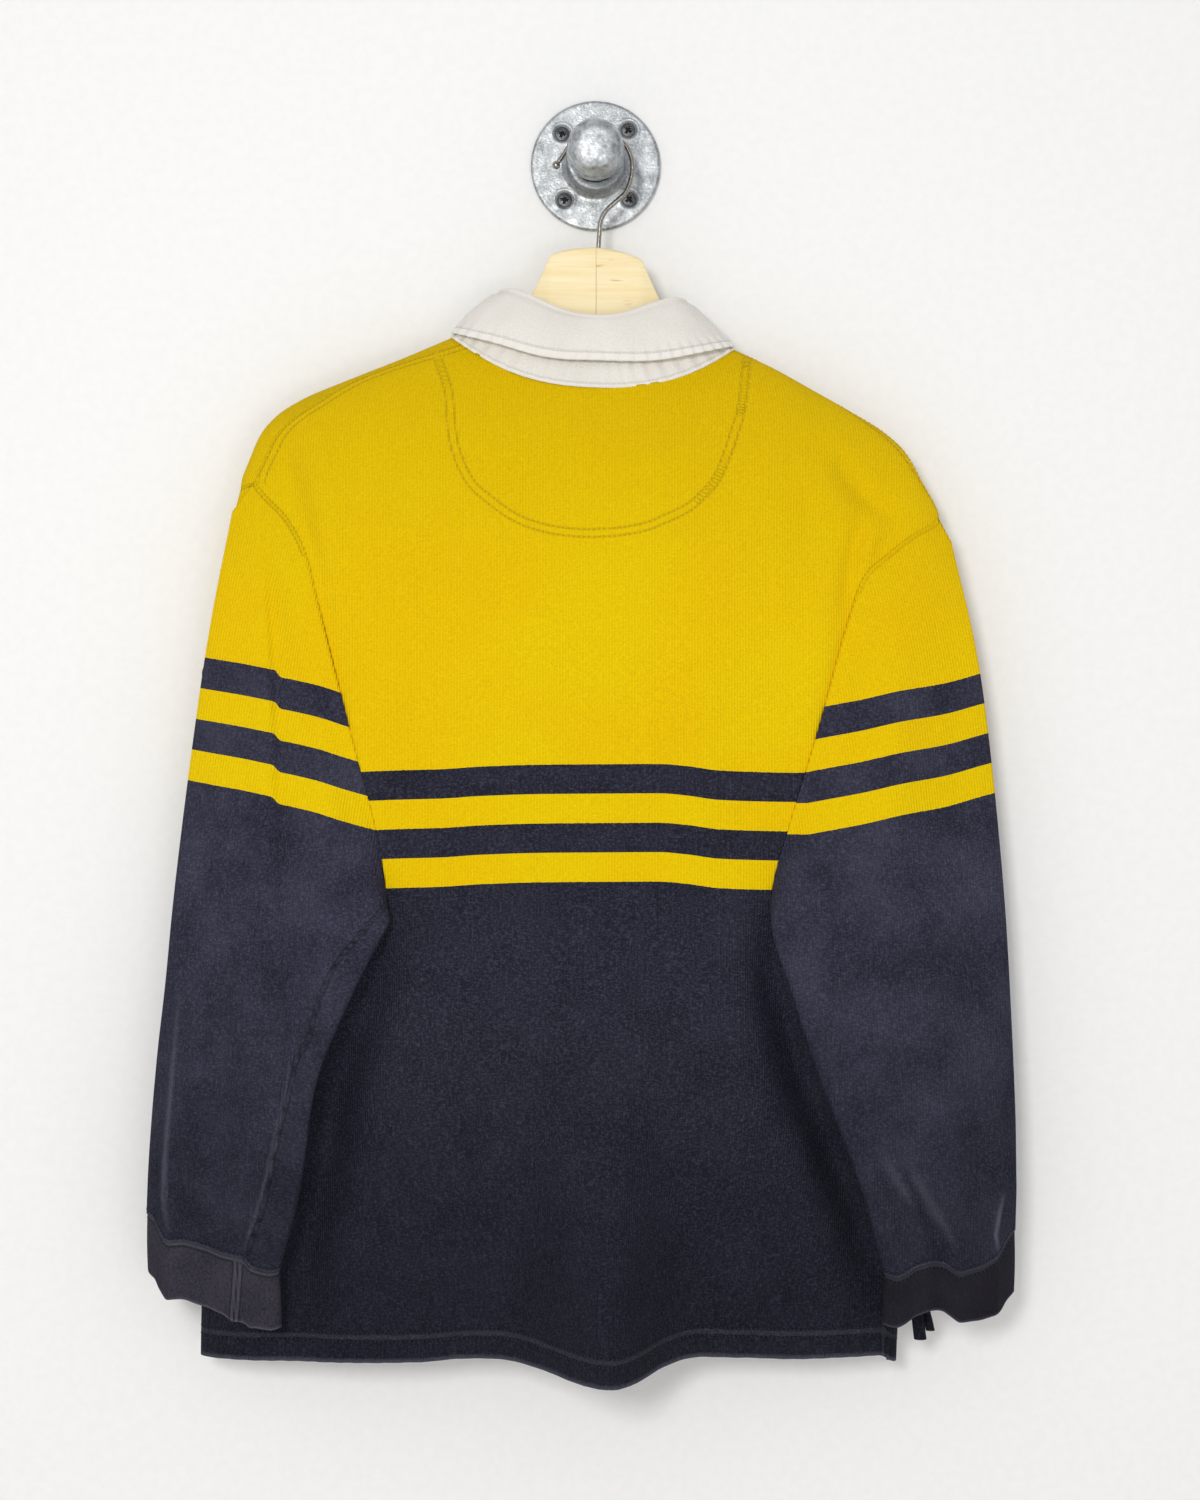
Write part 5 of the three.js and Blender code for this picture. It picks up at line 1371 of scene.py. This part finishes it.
bead = tubeMesh("hook_bead", beadRings)
dress(wire, steel, "steel_wire", "hanger_hook")
dress(bead, steel, "steel_wire")
print("hook made")


# Stitching: each stitch is a short proud strand of thread that dips into the cloth at both ends
stitch = dict(
    sides=5, height=0.36,
    yellow=dict(length=1.9, pitch=3.4, width=0.6),
    navy=dict(length=1.6, pitch=2.9, width=1.0),
    white=dict(length=1.9, pitch=2.9, width=0.6))


def lineOnGrid(grid, distance, fromEnd=False, part=None):
    # the line that runs across a grid's columns at a distance from its first or last row
    rows = grid[::-1] if fromEnd else grid
    run = runAlong(rows, 0)
    line, normals = [], []
    for i in (part if part is not None else range(rows.shape[1])):
        j = int(np.clip(np.searchsorted(run[:, i], distance), 1, len(rows) - 2))
        t = (distance - run[j - 1, i]) / max(run[j, i] - run[j - 1, i], 1e-6)
        line.append(mix(rows[j - 1, i], rows[j, i], t))
        after, before = (i + 1) % rows.shape[1], max(i - 1, 0)
        normal = np.cross(rows[j, after] - rows[j, before], rows[j + 1, i] - rows[j - 1, i])
        normals.append(normal if not fromEnd else -normal)
    normals = np.array(normals)
    return np.array(line), -normals / np.linalg.norm(normals, axis=1, keepdims=True)


def treeOf(grid, closed=False):
    rows, cols = grid.shape[:2]
    across = cols if closed else cols - 1
    j, i = np.meshgrid(np.arange(rows - 1), np.arange(across), indexing="ij")
    j, i = j.ravel(), i.ravel()
    following = (i + 1) % cols
    quads = np.stack([j * cols + i, (j + 1) * cols + i, (j + 1) * cols + following, j * cols + following], axis=1)
    return BVHTree.FromPolygons(grid.reshape(-1, 3).tolist(), quads.tolist())


def lineFromPhoto(tree, points):
    eye = Vector((view["x"], view["y"], view["z"]))
    line, normals = [], []
    for px, py in pathThrough(points, 1.5):
        x, z = fromPhoto(px, py, 0.0)
        aim = (Vector((x, 0, z)) - eye).normalized()
        place, normal, face, distance = tree.ray_cast(eye, aim)
        if place is not None:
            line.append(place[:])
            normals.append((normal if normal.dot(aim) < 0 else -normal)[:])
    return np.array(line), np.array(normals)


threads = {}


def stitchAlong(thread, line, normals, lift=0.12):
    run = np.concatenate([[0], np.cumsum(np.linalg.norm(np.diff(line, axis=0), axis=1))])
    kind = stitch[thread]
    starts = (np.arange(int(run[-1] / kind["pitch"])) + 0.15) * kind["pitch"]
    places = [starts + kind["length"] * share for share in (0, 0.2, 0.8, 1)]
    sample = [np.stack([np.interp(p, run, line[:, k]) for k in range(3)], axis=1) for p in places]
    out = np.stack([np.interp(places[1], run, normals[:, k]) for k in range(3)], axis=1)
    out /= np.linalg.norm(out, axis=1, keepdims=True)
    along = sample[3] - sample[0]
    along /= np.linalg.norm(along, axis=1, keepdims=True)
    side = np.cross(along, out)
    rings = []
    for centre, size, rise in zip(sample, (0.35, 1, 1, 0.35), (-0.22, lift, lift, -0.22)):
        for n in range(stitch["sides"]):
            w = 2 * math.pi * n / stitch["sides"]
            rings.append(centre + out * (rise + size * stitch["height"] / 2 * math.sin(w))
                         + side * (size * kind["width"] / 2 * math.cos(w)))
    threads.setdefault(thread, []).append(np.stack(rings, axis=1))


def makeThread(name, thread, material, slotName):
    points = np.concatenate(threads[thread])
    count, size, sides = points.shape[0], points.shape[1], stitch["sides"]
    one = [(r * sides + n, r * sides + (n + 1) % sides, (r + 1) * sides + (n + 1) % sides, (r + 1) * sides + n)
           for r in range(3) for n in range(sides)]
    faces = (np.array(one)[None] + (np.arange(count) * size)[:, None, None]).reshape(-1, 4)
    made = rawMesh(name, [], [])
    made.data.from_pydata((points.reshape(-1, 3) * millimetre).tolist(), [], faces.tolist())
    made.data.shade_smooth()
    return dress(made, material, slotName)


backTree = treeOf(backGrid)
moonOuter = offsetLine(moonInner, 8)
for points in (moonInner, moonOuter):
    stitchAlong("yellow", *lineFromPhoto(backTree, points))
shoulderRows = range(2, int(panels["rows"] * 7.2 / lastRow))
for grid in (backGrid.transpose(1, 0, 2), frontGrid.transpose(1, 0, 2)):
    centre = grid[:, list(shoulderRows)].mean(axis=0)
    for distance in (1.5, 1.5 + gauge):
        line, normals = lineOnGrid(grid, distance, False, shoulderRows)
        outwards = ((line - centre) * normals).sum(axis=1, keepdims=True)
        stitchAlong("yellow", line, np.where(outwards > 0, normals, -normals))
for side in ("left", "right"):
    line, normals = lineOnGrid(sleeveGrids[side][1:], 2.65)
    centre = sleeveGrids[side][1:].mean(axis=(0, 1))
    normals = np.where((normals * (line - centre)).sum(axis=1, keepdims=True) > 0, normals, -normals)
    upper = line[:, 2] > armholeStitchEnd[side]
    half = sleeves["half"]
    nearUpper = np.flatnonzero(upper[:half + 1])
    stitchAlong("yellow", line[nearUpper], normals[nearUpper])
    line, normals = lineOnGrid(sleeveGrids[side][1:], 2.65, True)
    normals = np.where((normals * (line - line.mean(axis=0))).sum(axis=1, keepdims=True) > 0, normals, -normals)
    stitchAlong("navy", line, normals)
    line, normals = lineOnGrid(cuffGrids[side], 2.65)
    normals = np.where((normals * (line - line.mean(axis=0))).sum(axis=1, keepdims=True) > 0, normals, -normals)
    stitchAlong("navy", line, normals)
for grid, outward in ((backGrid, -1), (frontGrid, 1)):
    for distance in (hem["stitchLow"], hem["stitchLow"] + gauge):
        line, normals = lineOnGrid(grid, distance, True)
        stitchAlong("navy", line, np.where(normals[:, 1:2] * outward > 0, normals, -normals))
for grid, distance in ((leafGrid[:-1], 5.3), (standGrid[:-1], 2.65)):
    line, normals = lineOnGrid(grid, distance, True)
    centre = np.array([collar["centreX"], edgeY, 0])
    level = (line - centre) * np.array([1, 1, 0])
    stitchAlong("white", line, np.where((normals * level).sum(axis=1, keepdims=True) > 0, normals, -normals))
for side in (False, True):
    line, normals = lineOnGrid(outerBandGrid.transpose(1, 0, 2), 2.65, side)
    stitchAlong("white", line, np.where(normals[:, 1:2] > 0, normals, -normals))
yellowStitches = makeThread("stitches_yellow", "yellow", yellowThreadShaded, "jersey_body")
navyStitches = makeThread("stitches_navy", "navy", navyThreadShaded, "jersey_sleeve")
whiteStitches = makeThread("stitches_white", "white", whiteThread, "collar_twill")
print("stitching made")
# Stage: a pale floor, the wall behind, and soft studio light
stageSettings = dict(floorZ=-1.12, wallY=0.0006, half=2.6, key=21.5, fill=7.5, world=0.655)


def stagePlane(name, corners, material):
    made = rawMesh(name, corners, [(0, 1, 2, 3)], scale=1, smooth=False)
    made.data.materials.append(material)
    return made


def wallMaterial():
    # painted wall that is only there from its front, so that views from behind still see the shirt
    material, tree, shader = newMaterial("painted plaster, white")
    place = addNode(tree, "ShaderNodeTexCoord").outputs["Object"]
    rolled = addNode(tree, "ShaderNodeTexNoise", {"Vector": place, "Scale": 1000 / 7, "Detail": 4, "Roughness": 0.6})
    level = addNode(tree, "ShaderNodeMapRange", {"Value": rolled, "From Min": 0.4, "From Max": 0.6, "To Min": 0, "To Max": 1})
    paint = addNode(tree, "ShaderNodeMix", {0: level, 6: hexColour("#f4f4f3"), 7: hexColour("#f6f6f5")}, data_type="RGBA")
    tree.links.new(paint.outputs[2], shader.inputs["Base Color"])
    bump = addNode(tree, "ShaderNodeBump", {"Strength": 0.15, "Distance": 0.2 * millimetre, "Height": rolled})
    tree.links.new(bump.outputs[0], shader.inputs["Normal"])
    shader.inputs["Roughness"].default_value = 0.9
    clear = addNode(tree, "ShaderNodeBsdfTransparent")
    behind = addNode(tree, "ShaderNodeNewGeometry").outputs["Backfacing"]
    both = addNode(tree, "ShaderNodeMixShader", {0: behind, 1: shader.outputs[0], 2: clear.outputs[0]})
    tree.links.new(both.outputs[0], tree.nodes["Material Output"].inputs["Surface"])
    return material


half, floorZ, wallY = stageSettings["half"], stageSettings["floorZ"], stageSettings["wallY"]
stagePlane("backdrop_wall", [(-half, wallY, floorZ), (half, wallY, floorZ), (half, wallY, half), (-half, wallY, half)],
           wallMaterial())
stagePlane("floor", [(-half, -half, floorZ), (half, -half, floorZ), (half, half, floorZ), (-half, half, floorZ)],
           mottledMaterial("painted board, pale", dict(dark="#dad8d6", pale="#e2e0de", size=60, roughness=0.8, height=0.3)))


def areaLight(name, place, aim, size, power, colour):
    lamp = bpy.data.lights.new(name, "AREA")
    lamp.shape = "RECTANGLE"
    lamp.size, lamp.size_y = size
    lamp.energy = power
    lamp.color = hexColour(colour)[:3]
    made = bpy.data.objects.new(name, lamp)
    made.location = place
    made.rotation_euler = (Vector(aim) - Vector(place)).to_track_quat("-Z", "Y").to_euler()
    bpy.context.collection.objects.link(made)


areaLight("key_softbox", (-0.42, -2.4, 0.0), (0, 0, -0.5), (0.42, 0.42), stageSettings["key"], "#fffdfa")
areaLight("fill_softbox", (0.4, -2.6, -0.85), (0, 0, -0.8), (1.4, 0.5), stageSettings["fill"], "#fffefb")
world = bpy.data.worlds.new("studio")
world.use_nodes = True
world.node_tree.nodes["Background"].inputs["Color"].default_value = hexColour("#f0f1f4")
world.node_tree.nodes["Background"].inputs["Strength"].default_value = stageSettings["world"]
bpy.context.scene.world = world
bpy.context.scene.view_settings.view_transform = "Standard"
print("stage made")
